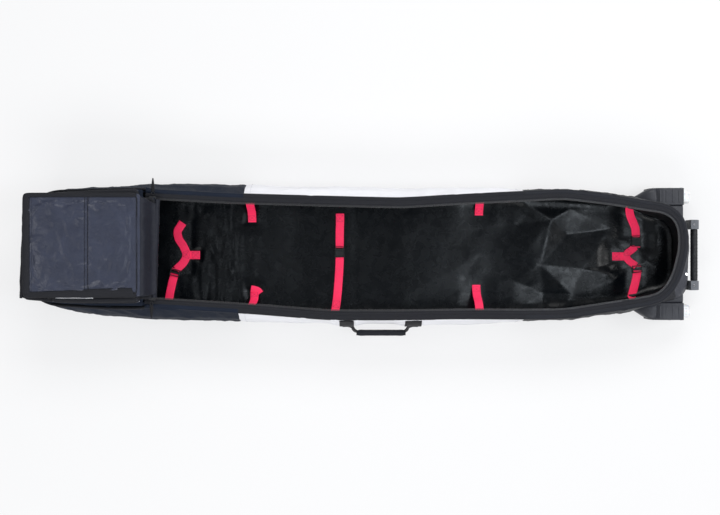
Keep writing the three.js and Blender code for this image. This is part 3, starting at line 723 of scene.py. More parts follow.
def build_floor():
    steps = np.linspace(0, 1, 48)
    reach = INSIDE[:, 1] - 0.002
    ways = np.column_stack([WAYS, np.zeros(COLUMNS)])[:, None]
    spokes = loop_points(np.zeros(COLUMNS), FLOOR_Z)[:, None] + ways * (reach[:, None] * steps)[:, :, None]
    flat = spokes.reshape(-1, 3)
    rise = np.tile(0.004 * smoothstep(0.80, 1.0, steps) ** 2, COLUMNS)
    flat[:, 2] += floor_relief(flat[:, 0], flat[:, 1]) + rise
    faces = grid_faces(COLUMNS, len(steps), close_columns=True)
    lining = piece("lining_floor", flat, faces, floor_lining, uv=flat[:, :2])
    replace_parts(lining, "floor_lining", "base_board")
    weld = lining.modifiers.new("weld", "WELD")
    weld.merge_threshold = 0.0005


def build_wall_lining():
    levels = []
    for j in range(1, ROWS):
        z = FLOOR_Z + 0.004 + SHARE[j] * (TOP_Z - FLOOR_Z - 0.0045)
        levels.append(loop_points(INSIDE[:, j] + 0.001, z))
    levels.append(loop_points(INSIDE[:, -1] + 0.007, TOP_Z + 0.0004))
    points = np.stack(levels, axis=1)
    flat = points.reshape(-1, 3)
    relief = creases(flat * (1, 1, 0.5), 0.09, 101, 2) * 0.006 + creases(flat, 0.04, 111, 3) * 0.0022
    hold = np.tile(np.concatenate([smoothstep(1, 0.9, SHARE[1:]), [0]]), COLUMNS)
    flat[:, :2] -= np.repeat(WAYS, len(levels), axis=0) * (relief * hold)[:, None]
    uv = np.stack([np.repeat(ALONG, len(levels)), flat[:, 2]], axis=1)
    faces = grid_faces(COLUMNS, len(levels), close_columns=True)
    piece("lining_walls", flat, faces, wall_lining, uv=uv)


# ---- Rim binding and zip ---------------------------------------------------------------------------
def rim_frames():
    """The open rim's line in plan, and the way inwards square to it at each point."""
    start = SHOULDER_X + 0.004
    columns = columns_between(column_at(start, True), column_at(start, False))
    line = np.stack([RIM_X, RIM_Y], axis=1)[columns]
    along = np.gradient(line, axis=0)
    along /= np.linalg.norm(along, axis=1)[:, None]
    inward = np.stack([along[:, 1], -along[:, 0]], axis=1)
    return line, inward


def rim_line(distance, z):
    line, inward = rim_frames()
    at = line + inward * distance
    return np.stack([at[:, 0], at[:, 1], np.broadcast_to(z, len(at))], axis=1)


def build_binding():
    """The rim: shell fabric rolled over the wall, then the zip tape sewn to it along two lines."""
    across = [
        (-0.0015, -0.012), (-0.0026, -0.004), (-0.0012, 0.0020), (0.0025, 0.0052), (0.0065, 0.0056),
        (0.0098, 0.0040), (0.0112, 0.0022), (0.0128, 0.0034), (0.0165, 0.0038), (0.0195, 0.0032),
        (0.0206, 0.0018), (BAND_WIDTH, 0.0024), (BAND_WIDTH + 0.0035, 0.0022),
        (BAND_WIDTH + 0.0035, 0.0012), (BAND_WIDTH - 0.002, 0.0010), (0.004, 0.0008),
    ]
    line, _ = rim_frames()
    wobble = 0.0018 * fractal(np.column_stack([line, np.zeros(len(line))]), 0.11, 121, 3)
    levels = [rim_line(distance, RIM_Z + height + wobble * (height > 0)) for distance, height in across]
    points = np.stack(levels, axis=1)
    pucker = perlin(points.reshape(-1, 3) * (90, 90, 30), 131).reshape(points.shape[:2])
    points[:, 3:10, 2] += 0.0009 * pucker[:, 3:10]
    uv = grid_uv(distances(line), distances(np.array(across)))
    faces = grid_faces(len(line), len(across), close_rows=True)
    fabrics = [binding, navy_fabric, black_fabric]
    band = piece("rim_band", points.reshape(-1, 3), faces, fabrics, uv=uv)
    for polygon in band.data.polygons:
        row = min(polygon.vertices[0] % len(across), polygon.vertices[2] % len(across))
        x, y = polygon.center.x, polygon.center.y
        rolled = row < 6
        if rolled and x < SEAM_TAIL[bool(y > 0)]:
            polygon.material_index = 1
        elif rolled and x > SEAM_WHEEL[bool(y > 0)]:
            polygon.material_index = 2
    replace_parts(band, "rim_binding_left", "rim_binding_right")
    for word, distance, height in (("outer", 0.0106, 0.0032), ("inner", 0.0182, 0.0046)):
        threads(f"rim_stitches_{word}", rim_line(distance, RIM_Z + height + wobble), (0, 0, 1), black_thread)


TOOTH_PITCH = 0.0026


def coil(name, line, out):
    """A nylon zip coil: one small hooked loop after another along line, standing out along out."""
    far = distances(line)
    at = np.arange(TOOTH_PITCH, far[-1], TOOTH_PITCH)
    centre = interpolated(at, far, line)
    out = interpolated(at, far, out)
    along = np.gradient(centre, axis=0)
    along /= np.linalg.norm(along, axis=1)[:, None]
    up = np.cross(along, out)
    corners = []
    for across, thick in ((-0.0028, 0.0008), (0.0022, 0.0007), (0.0030, 0.00105)):
        for a, b in ((-1, -1), (1, -1), (1, 1), (-1, 1)):
            corners.append(centre + out * across + along * a * 0.0009 + up * b * thick)
    points = np.stack(corners, axis=1)
    faces = []
    for i in range(len(at)):
        base = 12 * i
        faces.append((base, base + 3, base + 2, base + 1))
        faces.append((base + 8, base + 9, base + 10, base + 11))
        for level in (0, 4):
            for k in range(4):
                a = base + level + k
                b = base + level + (k + 1) % 4
                faces.append((a, b, b + 4, a + 4))
    return piece(name, points.reshape(-1, 3), faces, zip_plastic, smooth=False)


def build_zip():
    _, inward = rim_frames()
    out = np.column_stack([inward, np.zeros(len(inward))])
    teeth = coil("rim_coil", rim_line(TRACK_OFFSET + 0.0012, RIM_Z + 0.0026), out)
    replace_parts(teeth, "zip_track_left", "zip_track_right")


# ---- Padded lid and hood ---------------------------------------------------------------------------
def node_mesh(name):
    """Vertices and faces of a CAD node, its corners welded."""
    mesh = nodes[name].data
    keys = {}
    index = []
    for v in mesh.vertices:
        key = tuple(round(c, 6) for c in v.co)
        index.append(keys.setdefault(key, len(keys)))
    faces = {tuple(index[k] for k in p.vertices) for p in mesh.polygons}
    return np.array(list(keys)), [f for f in faces if len(set(f)) == len(f)]


def simulate_pad(obj, pinned, growth, cap, cap_z=None):
    """Swells obj as a slack fabric cover, held still where pinned says, and keeps the result.

    growth is the cover's spare size, and cap and cap_z limit how far a point moves in all and in height.
    """
    frames = 20
    mesh = obj.data
    rest = np.array([v.co for v in mesh.vertices])
    group = obj.vertex_groups.new(name="seam")
    group.add([int(k) for k in np.flatnonzero(pinned(rest))], 1.0, "REPLACE")
    cloth = obj.modifiers.new("cloth", "CLOTH")
    settings = cloth.settings
    settings.quality = 4
    settings.mass = 0.18
    settings.tension_stiffness = 25
    settings.compression_stiffness = 25
    settings.shear_stiffness = 12
    settings.bending_stiffness = 0.06
    settings.use_pressure = True
    settings.uniform_pressure_force = 4.0
    settings.shrink_min = -growth
    settings.vertex_group_mass = "seam"
    settings.pin_stiffness = 1.0
    settings.effector_weights.gravity = 0
    cloth.collision_settings.use_collision = False
    cloth.point_cache.frame_start = 1
    cloth.point_cache.frame_end = frames
    scene = bpy.context.scene
    for f in range(1, frames + 1):
        scene.frame_set(f)
    depsgraph = bpy.context.evaluated_depsgraph_get()
    moved = np.array([v.co for v in obj.evaluated_get(depsgraph).data.vertices])
    obj.modifiers.remove(cloth)
    obj.vertex_groups.clear()
    scene.frame_set(1)
    step = moved - rest
    step[~np.isfinite(step)] = 0
    length = np.linalg.norm(step, axis=1)[:, None]
    step *= np.tanh(length / cap) * cap / np.maximum(length, 1e-9)
    if cap_z:
        step[:, 2] = np.tanh(step[:, 2] / cap_z) * cap_z
    mesh.vertices.foreach_set("co", (rest + step).ravel())
    mesh.update()


def pad_from_node(name, node, thin, inset):
    """The node's solid, drawn in, thinned and remeshed evenly, with the node's lowest and highest Z."""
    vertices, faces = node_mesh(node)
    low, high = vertices.min(0), vertices.max(0)
    centre = (low + high) / 2
    half = (high - low) / 2
    vertices = centre + (vertices - centre) * (half - (inset, inset, thin)) / half
    obj = piece(name, vertices, faces, flat_black, body=None)
    remesh = obj.modifiers.new("remesh", "REMESH")
    remesh.mode = "VOXEL"
    remesh.voxel_size = 0.0045
    depsgraph = bpy.context.evaluated_depsgraph_get()
    mesh = bpy.data.meshes.new_from_object(obj.evaluated_get(depsgraph))
    obj.modifiers.remove(remesh)
    obj.data = mesh
    return obj, low[2], high[2]


def to_outline(points, outline):
    """Distance in plan from each point to the closed outline."""
    best = np.full(len(points), 9.0)
    for a, b in zip(outline, np.roll(outline, -1, axis=0)):
        way = b - a
        t = np.clip(((points[:, :2] - a) @ way) / (way @ way), 0, 1)
        best = np.minimum(best, np.linalg.norm(points[:, :2] - (a + t[:, None] * way), axis=1))
    return best


def plan_outline(node):
    vertices, _ = node_mesh(node)
    plan = vertices[vertices[:, 2] < vertices[:, 2].mean()][:, :2]
    centre = plan.mean(0)
    return plan[np.argsort(np.arctan2(plan[:, 1] - centre[1], plan[:, 0] - centre[0]))]


def paint_by_normal(obj, upper, lower, edge):
    """Gives the faces that look up, down or sideways their own fabric, or the one its rule gives at x."""
    mesh = obj.data
    mesh.materials.clear()
    order = []

    def index_of(material):
        if material not in order:
            order.append(material)
            mesh.materials.append(material)
        return order.index(material)

    for polygon in mesh.polygons:
        up = polygon.normal.z
        rule = upper if up > 0.45 else lower if up < -0.45 else edge
        polygon.material_index = index_of(rule(polygon.center.x) if callable(rule) else rule)
        polygon.use_smooth = True


def split_at(boundary, wheel_side, tail_side):
    return lambda x: wheel_side if x > boundary else tail_side


SEAM_X = -0.779  # the seam across the last panel
FREE_END_X = -0.96  # the last panel's free end
LID_FACES = {
    1: (lid_lining, split_at(-0.848, flat_navy, flat_white)),
    2: (flat_white, lid_lining),
    3: (lid_lining, flat_white),
    4: (split_at(-0.765, flat_black, flat_white), lid_lining),
    5: (lid_lining, flat_black),
}
PADS = {}


def build_pads():
    for k in range(1, 6):
        node = f"lid_panel_{k}"
        obj, low_z, high_z = pad_from_node(f"lid_pad_{k}", node, 0.0016, 0.0008)
        outline = plan_outline(node)
        growth = 0.05 if k in (1, 5) else 0.03
        sewn = 0.023 if k == 5 else 0.012
        simulate_pad(obj, lambda p: to_outline(p, outline) < sewn, growth, cap=0.005, cap_z=0.0028)
        shape_pad(obj, outline, k, low_z, high_z)
        upper, lower = LID_FACES[k]
        paint_by_normal(obj, upper, lower, binding)
        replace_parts(obj, node)
        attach(obj, f"lid_{k}")
        PADS[k] = obj
        lid_edge_tape(k, outline, low_z, high_z)
    hood, _, _ = pad_from_node("hood_pad", "tail_hood", 0.0008, 0.0005)
    outline = plan_outline("tail_hood")
    simulate_pad(hood, lambda p: to_outline(p, outline) < 0.012, 0.02, cap=0.004, cap_z=0.0016)
    paint_by_normal(hood, flat_navy, lid_lining, flat_navy)
    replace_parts(hood, "tail_hood")
    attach(hood, "bag_body")


def lid_droop(x, k):
    """How far the soft end of the last panel hangs below flat, at rest."""
    return -0.007 * smoothstep(-0.87, FREE_END_X, x) if k == 5 else np.zeros(len(x))


TWIST = np.array(Matrix.Rotation(math.radians(35), 3, "Z"))


def shape_pad(obj, outline, k, low_z, high_z):
    """Wrinkles, seam grooves and the droop of a lid pad, with its edge kept inside its tape."""
    mesh = obj.data
    points = np.array([v.co for v in mesh.vertices])
    edge = to_outline(points, outline)
    inner = smoothstep(0.004, 0.03, edge)
    middle = low_z * 0.5 + high_z * 0.5
    face = np.sign(points[:, 2] - middle)
    flat = points * (1, 1, 0)
    wrinkle = 0.0016 * creases(flat, 0.07, 200 + k, 3) + 0.0005 * creases(flat, 0.021, 210 + k, 2) - 0.0009
    run = flat * (0.35, 1.3, 0)
    wrinkle += 0.0012 * creases(run, 0.04, 220 + k, 3)
    groove = 0.002 * bump_at(edge, 0.0035, 0.004)
    if k == 5:
        groove += 0.0026 * bump_at(points[:, 0], SEAM_X, 0.008)
        rucks = creases(flat * (0.5, 1, 1), 0.028, 240, 3) * bump_at(points[:, 0], -0.935, 0.035)
        streaks = creases(flat * (0.22, 1.6, 0), 0.022, 247, 2)
        near_seams = bump_at(points[:, 0], -0.755, 0.03) + bump_at(points[:, 0], -0.80, 0.02)
        wrinkle += 0.0013 * streaks * (near_seams + 0.25)
        wrinkle += 0.0022 * rucks + 0.0016 * creases(flat @ TWIST, 0.06, 244, 4)
    scale = 1.0 if k in (1, 5) else 0.5
    points[:, 2] += face * (wrinkle * inner * scale - groove * 0.7)
    under_tape = edge < np.where(points[:, 0] > -0.64, 0.001, 0.014)
    half = (high_z - low_z) / 2 - 0.0004
    points[under_tape, 2] = np.clip(points[under_tape, 2], middle - half, middle + half)
    points[:, 2] += 0.0012 * fractal(flat, 0.16, 230, 2) + lid_droop(points[:, 0], k)
    mesh.vertices.foreach_set("co", points.ravel())
    mesh.update()


POINTS_PER_METRE = 260


def offset_outline(outline, distance):
    """Evenly spaced closed line inside the outline, its corners rounded off."""
    centre = outline.mean(0)
    line = []
    for a, b in zip(outline, np.roll(outline, -1, axis=0)):
        steps = max(2, int(np.linalg.norm(b - a) * POINTS_PER_METRE))
        line += [a + (b - a) * t for t in np.linspace(0, 1, steps, endpoint=False)]
    line = np.array(line)
    if (np.cross(line[1] - line[0], centre - line[0])) < 0:
        line = line[::-1]
    line = smooth_loop(line, 2.0)
    along = np.roll(line, -1, axis=0) - np.roll(line, 1, axis=0)
    along /= np.linalg.norm(along, axis=1)[:, None]
    inward = np.stack([-along[:, 1], along[:, 0]], axis=1)
    return smooth_loop(line + inward * np.broadcast_to(distance, len(line))[:, None], 1.5)


def tape_width(line, k):
    """Width of a lid panel's edge tape at each point of its outline."""
    x, y = line.T
    if k != 5:
        return np.full(len(line), 0.011)
    side = np.where(y > 0, 0.012, 0.016 + 0.011 * smoothstep(-0.96, -0.66, x))
    free_end = smoothstep(-0.945, -0.958, x)
    fold = smoothstep(-0.6348, -0.6338, x)
    return side * (1 - free_end) * (1 - fold) + 0.021 * free_end + 0.0012 * fold


# across an edge tape, from its upper edge round to its lower one: share of the width, inward, share of height
TAPE_SECTION = [
    (1, 0, 1.0), (0.5, 0, 1.06), (0, 0.003, 1.0), (0, 0, 0.6), (0, -0.0006, 0),
    (0, 0, -0.6), (0, 0.003, -1.0), (0.5, 0, -1.06), (1, 0, -1.0),
]


def lid_edge_tape(k, outline, low_z, high_z):
    """Bound edge of a lid panel: a folded tape all round, sewn down on both faces."""
    middle = (low_z + high_z) / 2
    half = (high_z - low_z) / 2 + (0.0006 if k > 1 else -0.0004)
    width = tape_width(offset_outline(outline, 0.0), k)
    section = [(share * width + inward, height * half) for share, inward, height in TAPE_SECTION]
    levels = []
    for inward, height in section:
        line = offset_outline(outline, inward)
        wave = 0.0006 * perlin(np.column_stack([line * 45, np.full(len(line), k)]), 240)
        rise = 0.0012 * fractal(np.column_stack([line, np.zeros(len(line))]), 0.16, 230, 2)
        z = middle + height + (rise + wave) * (k > 1) + lid_droop(line[:, 0], k)
        levels.append(np.column_stack([line, z]))
    count = min(len(level) for level in levels)
    points = np.stack([level[:count] for level in levels], axis=1)
    uv = grid_uv(distances(points[:, 0]), np.linspace(0, 0.04, len(section)))
    faces = grid_faces(count, len(section), close_columns=True)
    tape = piece(f"lid_tape_{k}", points.reshape(-1, 3), faces, binding, f"lid_{k}", uv)
    thicken(tape, 0.0008, 0)
    for word, sign, outer, inner in (("upper", 1, 1, 0), ("lower", -1, -2, -1)):
        line = points[:, outer] * 0.35 + points[:, inner] * 0.65 + (0, 0, sign * 0.0007)
        threads(f"lid_tape_stitches_{word}_{k}", line, (0, 0, sign), black_thread, f"lid_{k}")


CREASES = [
    # joint, its bodies, fabric outside the fold and inside it, way it points along X, ends in Y
    # folds 1 and 5 wear the lid lining's copy darkened with painted shade
    ("lid_fold_1", "bag_body", "lid_1", slope_lining_painted_shade, flat_navy, 1, -0.126, 0.158),
    ("lid_fold_2", "lid_1", "lid_2", binding, lid_lining, -1, -0.128, 0.165),
    ("lid_fold_3", "lid_2", "lid_3", lid_lining, flat_white, 1, -0.122, 0.152),
    ("lid_fold_4", "lid_3", "lid_4", binding, lid_lining, -1, -0.130, 0.169),
    ("lid_fold_5", "lid_4", "lid_5", slope_lining_painted_shade, flat_black, 1, -0.121, 0.171),
]
# the last fold's cloth is slack: it hangs from the top panel's edge down over the folds below
SLACK_PROFILE = [
    (-0.005, 0.0112), (0.003, 0.0108), (0.010, 0.0085), (0.0165, 0.0020), (0.0215, -0.007), (0.026, -0.017),
    (0.0315, -0.0255), (0.038, -0.0312), (0.0435, -0.0352), (0.0445, -0.0368), (0.040, -0.0345),
    (0.0315, -0.0300), (0.025, -0.0250), (0.020, -0.019), (0.0145, -0.0140),
    (0.009, -0.0110), (0.002, -0.0106), (-0.005, -0.0104),
]


def fold_profile(hangs):
    """Across a fold, from its lower edge to its upper one: places beyond the fold line and in height."""
    if hangs:
        path = catmull([(x, 0, z) for x, z in SLACK_PROFILE], 44)
        return [(x, z) for x, _, z in path][::-1]
    turns = np.linspace(-math.pi / 2, math.pi / 2, 17)
    return [(math.cos(a) * 0.0104, math.sin(a) * 0.0104) for a in turns]


# across the doubled flap inside a fold: inward, share of its half height
HAIRPIN = [(0.026, -1), (0.012, -1), (0.004, -0.9), (0.0, 0), (0.004, 0.9), (0.012, 1), (0.026, 1)]


def build_creases():
    """Fabric across each fold of the lid: a round of cloth outside it and a doubled flap inside it."""
    joints = {j["name"]: j for j in frame["joints"]}
    for joint_name, first, second, outer, inner, side, near_y, far_y in CREASES:
        position = np.array(joints[joint_name]["pos_m"], float)
        axis = np.array(joints[joint_name]["axis"], float)
        axis /= np.linalg.norm(axis) * np.sign(axis[1])
        away = np.array([axis[1], -axis[0], 0]) * side
        reach = np.linspace(near_y, far_y, 90) - position[1]
        hangs = joint_name == "lid_fold_5"
        profile = np.array(fold_profile(hangs))
        line = position + axis * reach[:, None]
        beyond = np.clip(profile[:, 0] / 0.012, 0, 1)
        low = np.clip(-profile[:, 1] / 0.036, 0, 1)
        rings = []
        for at, along in zip(line, np.linspace(0, 1, len(line))):
            flare = 0.014 * max(2 * along - 1, 0) - 0.004 * max(1 - 2 * along, 0)
            taper = 0.012 * smoothstep(0.8, 1, along) if hangs else 0
            spread = low * flare + beyond * taper
            rings.append(at + away * profile[:, :1] + (0, 0, 1) * profile[:, 1:] - axis * spread[:, None])
        flat = np.array(rings).reshape(-1, 3)
        ruck = 0.0016 * fractal(flat * (1, 1, 0.4), 0.05, 250, 3) + 0.0008 * creases(flat, 0.03, 253, 2)
        flat += away * (ruck * np.tile(beyond, len(line)))[:, None]
        cloth = piece(f"{joint_name}_cloth", flat, grid_faces(len(line), len(profile)), [outer, lid_lining],
                      None, grid_uv(reach, distances(profile)))
        if hangs:
            for polygon in cloth.data.polygons:
                polygon.material_index = int(polygon.center.z - position[2] > 0.0104)
        thicken(cloth, 0.0009)
        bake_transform(cloth)
        hairpin = [-away * across + np.array([0, 0, up * 0.00035]) for across, up in HAIRPIN]
        points = line[:, None] + np.array(hairpin)[None]
        flap = piece(f"{joint_name}_flap", points.reshape(-1, 3), grid_faces(len(line), len(HAIRPIN)), inner,
                     None)
        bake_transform(flap)


def height_on(obj, x, y):
    """Height of the top of a piece at a place in plan."""
    hit, place, _, _ = obj.ray_cast(obj.matrix_world.inverted() @ Vector((x, y, 0.5)), (0, 0, -1))
    return place.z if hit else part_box("lid_panel_5")[1].z


def build_lid_seams():
    """Stitching across the last panel where its lining is joined, a thin dark cord of painted shade in each
    seam's groove, and puckers of thread by its free end.
    """
    pad = PADS[5]
    bpy.context.view_layer.update()
    # painted shade: each seam gets a thin dark cord standing in for the shadow in its groove, which is too
    # narrow for the pad's mesh
    for k, (x, low_y, radius) in enumerate(((-0.7745, -0.103, 0.0011), (-0.7842, -0.105, 0.0007))):
        line = [(x, y, height_on(pad, x, y) + 0.0001) for y in np.linspace(low_y, 0.161, 120)]
        tube(f"lid_seam_{k}", line, radius, seam_shadow_cord, "lid_5", 8)
    for k, (x, low_y) in enumerate(((-0.7795, -0.103), (-0.9372, -0.108))):
        line = [(x, y, height_on(pad, x, y) + 0.0004) for y in np.linspace(low_y, 0.160, 120)]
        threads(f"lid_seam_stitches_{k}", line, (0, 0, 1), black_thread, "lid_5")
    fold = [(-0.6345, y, height_on(pad, -0.6345, y) + 0.0012) for y in np.linspace(-0.112, 0.166, 120)]
    tube("lid_fold_piping", fold, 0.0017, lid_lining, "lid_5", 8)


# ---- Straps and buckles ----------------------------------------------------------------------------
SIDES = (("left", 1), ("right", -1))
STRAP_WIDTH = 0.025
STRAP_THICKNESS = 0.0017
STRAP_Z = FLOOR_Z + 0.0022
OVER_Z = STRAP_Z + 0.0024


def ribbon_frames(path, normal):
    """Width and face directions along a path without twist, starting from the given face normal."""
    along = np.gradient(path, axis=0)
    along /= np.linalg.norm(along, axis=1)[:, None]
    up = np.array(normal, float)
    ups = []
    for t in along:
        up = up - t * (up @ t)
        up /= np.linalg.norm(up)
        ups.append(up)
    ups = np.array(ups)
    return np.cross(along, ups), ups


# the webbing's section, in shares of its width and thickness
STRAP_SECTION = [(-0.5, 0.25), (-0.47, 0.5), (-0.25, 0.56), (0.25, 0.56), (0.47, 0.5), (0.5, 0.25),
                 (0.5, -0.25), (0.47, -0.5), (-0.47, -0.5), (-0.5, -0.25)]


def strap(name, points, normal=(0, 0, 1), width=STRAP_WIDTH, material=red_webbing, body="bag_body",
          slot="webbing_red", count=None, flutter=0.0006, thickness=STRAP_THICKNESS, tip=1.0, roll=None):
    """Flat webbing along a smooth path, given in metres; tip is its end's share of the full width.

    roll gives the angle, in radians, that the webbing is turned about its length at each point.
    """
    points = np.asarray(points, float)
    length = np.linalg.norm(np.diff(points, axis=0), axis=1).sum()
    path = catmull(points, count or max(12, int(length / 0.0035)))
    side, up = ribbon_frames(path, normal)
    if roll is not None:
        angle = roll(path)[:, None]
        side, up = side * np.cos(angle) + up * np.sin(angle), up * np.cos(angle) - side * np.sin(angle)
    path = path + up * (flutter * perlin(path * 26, 261))[:, None]
    side = side * (1 + (tip - 1) * np.linspace(0, 1, len(path)) ** 2)[:, None]
    rings = [path + side * across * width + up * high * thickness for across, high in STRAP_SECTION]
    points = np.stack(rings, axis=1)
    uv = grid_uv(distances(path), [across * width for across, _ in STRAP_SECTION])
    faces = closed_tube_faces(len(path), len(STRAP_SECTION))
    obj = piece(name, points.reshape(-1, 3), faces, material, body, uv)
    return obj, path, side, up


def box_stitch(name, path, side, up, start, length, thread, body="bag_body", width=0.019, slot="webbing_red"):
    """A sewn box with a cross in it, on the face of a strap."""
    far = distances(path)

    def on_strap(share, across):
        at, sideways, out = (interpolated(start + share * length, far, rows) for rows in (path, side, up))
        return at + sideways * across * width / 2 + out * 0.0011

    corners = [(0, -1), (1, -1), (1, 1), (0, 1), (0, -1), (1, 1), (0, 1), (1, -1)]
    line = []
    for (s0, a0), (s1, a1) in zip(corners, corners[1:]):
        line += [on_strap(s0 + (s1 - s0) * t, a0 + (a1 - a0) * t) for t in np.linspace(0, 1, 8)]
    out = interpolated(start + length / 2, far, up)
    threads(name, line, out, thread, body, pitch=0.0032, length=0.0024)


def inner_wall_y(x, z, left):
    """Y of the wall's inner face at a place along the bag."""
    column = column_at(x, left)
    row = int(np.clip(z / RIM_Z, 0, 1) * (ROWS - 1))
    return WAYS[column, 1] * INSIDE[column, row]


def up_wall(x, left, heights, off=0.006):
    sign = 1 if left else -1
    return [(x, inner_wall_y(x, z, left) - sign * off, z) for z in heights]


def plan_points(pairs, z):
    return [(x / 1000, y / 1000, z) for x, y in pairs]


def webbing_roll(name, centre, angle, body="bag_body", width=STRAP_WIDTH):
    """The turn of a strap back round a bar."""
    way = np.array([math.cos(angle), math.sin(angle), 0.0])
    middle = np.array([*centre, STRAP_Z + 0.0016])
    path = [middle + way * t * width / 2 for t in np.linspace(-0.98, 0.98, 14)]
    tube(name, path, 0.0027, red_webbing, body, 12)


def floor_strap(node, points, sewn=None, body="bag_body", **shape):
    """The webbing that stands for a CAD strap; sewn is its sewn box's start and length."""
    obj, path, side, up = strap(f"{node}_webbing", points, body=body, **shape)
    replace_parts(obj, node)
    if sewn:
        box_width = 0.019 if "width" not in shape else shape["width"] - 0.006
        box_stitch(f"{node}_stitches", path, side, up, *sewn, red_thread, width=box_width)
    return obj


def build_rolls():
    for name, centre, angle, body in (
        ("middle_roll_left", (-0.062, 0.0215), 0.0, "middle_plug"),
        ("middle_roll_right", (-0.062, -0.0110), 0.0, "bag_body"),
        ("tail_roll_fork", (-0.5625, -0.0470), -0.25, "bag_body"),
        ("tail_roll_side", (-0.5680, -0.0665), -0.25, "bag_body"),
        ("wheel_roll_left", (0.843, 0.0545), 0.0, "wheel_end_plug"),
        ("wheel_roll_socket", (0.843, 0.0225), 0.0, "bag_body"),
        ("wheel_roll_fork", (0.8455, -0.0365), 0.1, "bag_body"),
        ("wheel_roll_right", (0.8475, -0.0555), 0.1, "bag_body"),
    ):
        webbing_roll(name, centre, angle, body)


def build_middle_strap():
    left = plan_points([(-62, 21), (-62, 60), (-61, 100), (-61, 124)], STRAP_Z)
    obj = floor_strap("middle_strap_left", left, (0.078, 0.02), None)
    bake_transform(obj)
    right = plan_points([(-62, -9), (-62.5, -30), (-64, -60), (-66.5, -95), (-69, -125), (-72, -150)],
                        STRAP_Z)
    right += up_wall(-0.077, False, [0.03, 0.07, 0.11, 0.15])
    floor_strap("middle_strap_right", right, (0.135, 0.02))


def build_tail_strap():
    anchor = plan_points([(-489, -3), (-505, -3), (-530, -3)], STRAP_Z)
    floor_strap("tail_strap_anchor", anchor, (0.003, 0.02))
    fork = plan_points([(-541, 96), (-549, 84), (-557, 68), (-553, 46), (-538, 22), (-530, -4), (-540, -27),
                        (-561, -47)], OVER_Z)
    floor_strap("tail_strap_fork", fork, (0.098, 0.02))
    tail_side = plan_points([(-566, -60), (-573, -85), (-579, -112), (-584, -140)], STRAP_Z)
    floor_strap("tail_strap_side", tail_side + up_wall(-0.587, False, [0.028, 0.06, 0.095]))
    ladder_lock("tail_lock", (-0.5655, -0.0565), -0.25)


def build_wheel_strap():
    anchor = plan_points([(771, -7), (790, -7), (812, -7)], STRAP_Z)
    floor_strap("wheel_strap_anchor", anchor, (0.003, 0.02))
    left = plan_points([(843, 54), (842.5, 66), (841, 80), (834, 98), (826, 118)], STRAP_Z)
    obj = floor_strap("wheel_strap_left", left + up_wall(0.820, True, [0.03, 0.07, 0.11]), body=None)
    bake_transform(obj)
    fork = plan_points([(841, 23), (830, 13), (818, 4), (813, -6), (821, -20), (843, -36)], OVER_Z)
    floor_strap("wheel_strap_fork", fork, (0.022, 0.018), width=0.022)
    right = plan_points([(847, -50), (845, -70), (840, -92), (834, -114), (830, -130)], STRAP_Z)
    floor_strap("wheel_strap_right", right + up_wall(0.829, False, [0.03, 0.07, 0.11]))
    ladder_lock("wheel_lock", (0.8465, -0.0455), 0.1)


def build_pole_straps():
    """Short loops that hang on the walls, lean along the bag and end on the floor."""
    for label, x, is_left, end, lean in (
        ("left_tail", -0.333, True, 0.097, 0.004), ("right_tail", -0.342, False, 0.110, 0.020),
        ("left_wheel", 0.361, True, 0.118, 0.002), ("right_wheel", 0.360, False, 0.094, -0.005),
    ):
        name = f"pole_strap_{label}"
        sign = 1 if is_left else -1
        line = up_wall(x, is_left, [0.15, 0.12, 0.095], off=0.007)
        line += [(x + lean * 0.5, sign * (end + 0.055), 0.072), (x + lean, sign * (end + 0.030), 0.036),
                 (x + lean, sign * (end + 0.010), 0.0185), (x + lean, sign * end, STRAP_Z + 0.001)]
        obj, path, side, up = strap(f"{name}_webbing", line, normal=(0, -sign, 0))
        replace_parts(obj, name)
        box_stitch(f"{name}_stitches", path, side, up, 0.004, 0.02, red_thread)
        if label == "right_tail":
            turned = plan_points([(-333, -106), (-322, -108), (-311, -112), (-304, -120)], OVER_Z + 0.0018)
            strap(f"{name}_end", turned, width=0.021)
        box_stitch(f"{name}_hem", path, side, up, distances(path)[-1] - 0.024, 0.018, red_thread)


def frame_bars(name, centre, angle, half_x, half_y, low, high, bar, cross, body="bag_body"):
    """Two side bars and crossbars between them; cross gives each crossbar's Y, width and lift."""
    turn = Matrix.Translation((centre[0], centre[1], 0)) @ Matrix.Rotation(angle, 4, "Z")
    vertices = []
    faces = []

    def block(x0, y0, x1, y1, z0, z1):
        start = len(vertices)
        for z in (z0, z1):
            vertices.extend(turn @ Vector(p) for p in ((x0, y0, z), (x1, y0, z), (x1, y1, z), (x0, y1, z)))
        faces.extend(tuple(start + k for k in f) for f in (
            (3, 2, 1, 0), (4, 5, 6, 7), (0, 1, 5, 4), (1, 2, 6, 5), (2, 3, 7, 6), (3, 0, 4, 7)))

    block(-half_x, -half_y, -half_x + bar, half_y, low, high)
    block(half_x - bar, -half_y, half_x, half_y, low, high)
    for y, width, lift in cross:
        block(-half_x + bar * 0.5, y - width / 2, half_x - bar * 0.5, y + width / 2, low + lift, high + lift)
    obj = piece(name, vertices, faces, black_plastic, body, smooth=False)
    return rounded(obj, 0.0008)


def ladder_lock(name, centre, angle):
    frame_bars(name, centre, angle, 0.0155, 0.011, STRAP_Z + 0.0002, STRAP_Z + 0.0048, 0.0032,
               [(-0.0095, 0.003, 0.0), (-0.001, 0.004, 0.0012), (0.0095, 0.003, 0.0)])


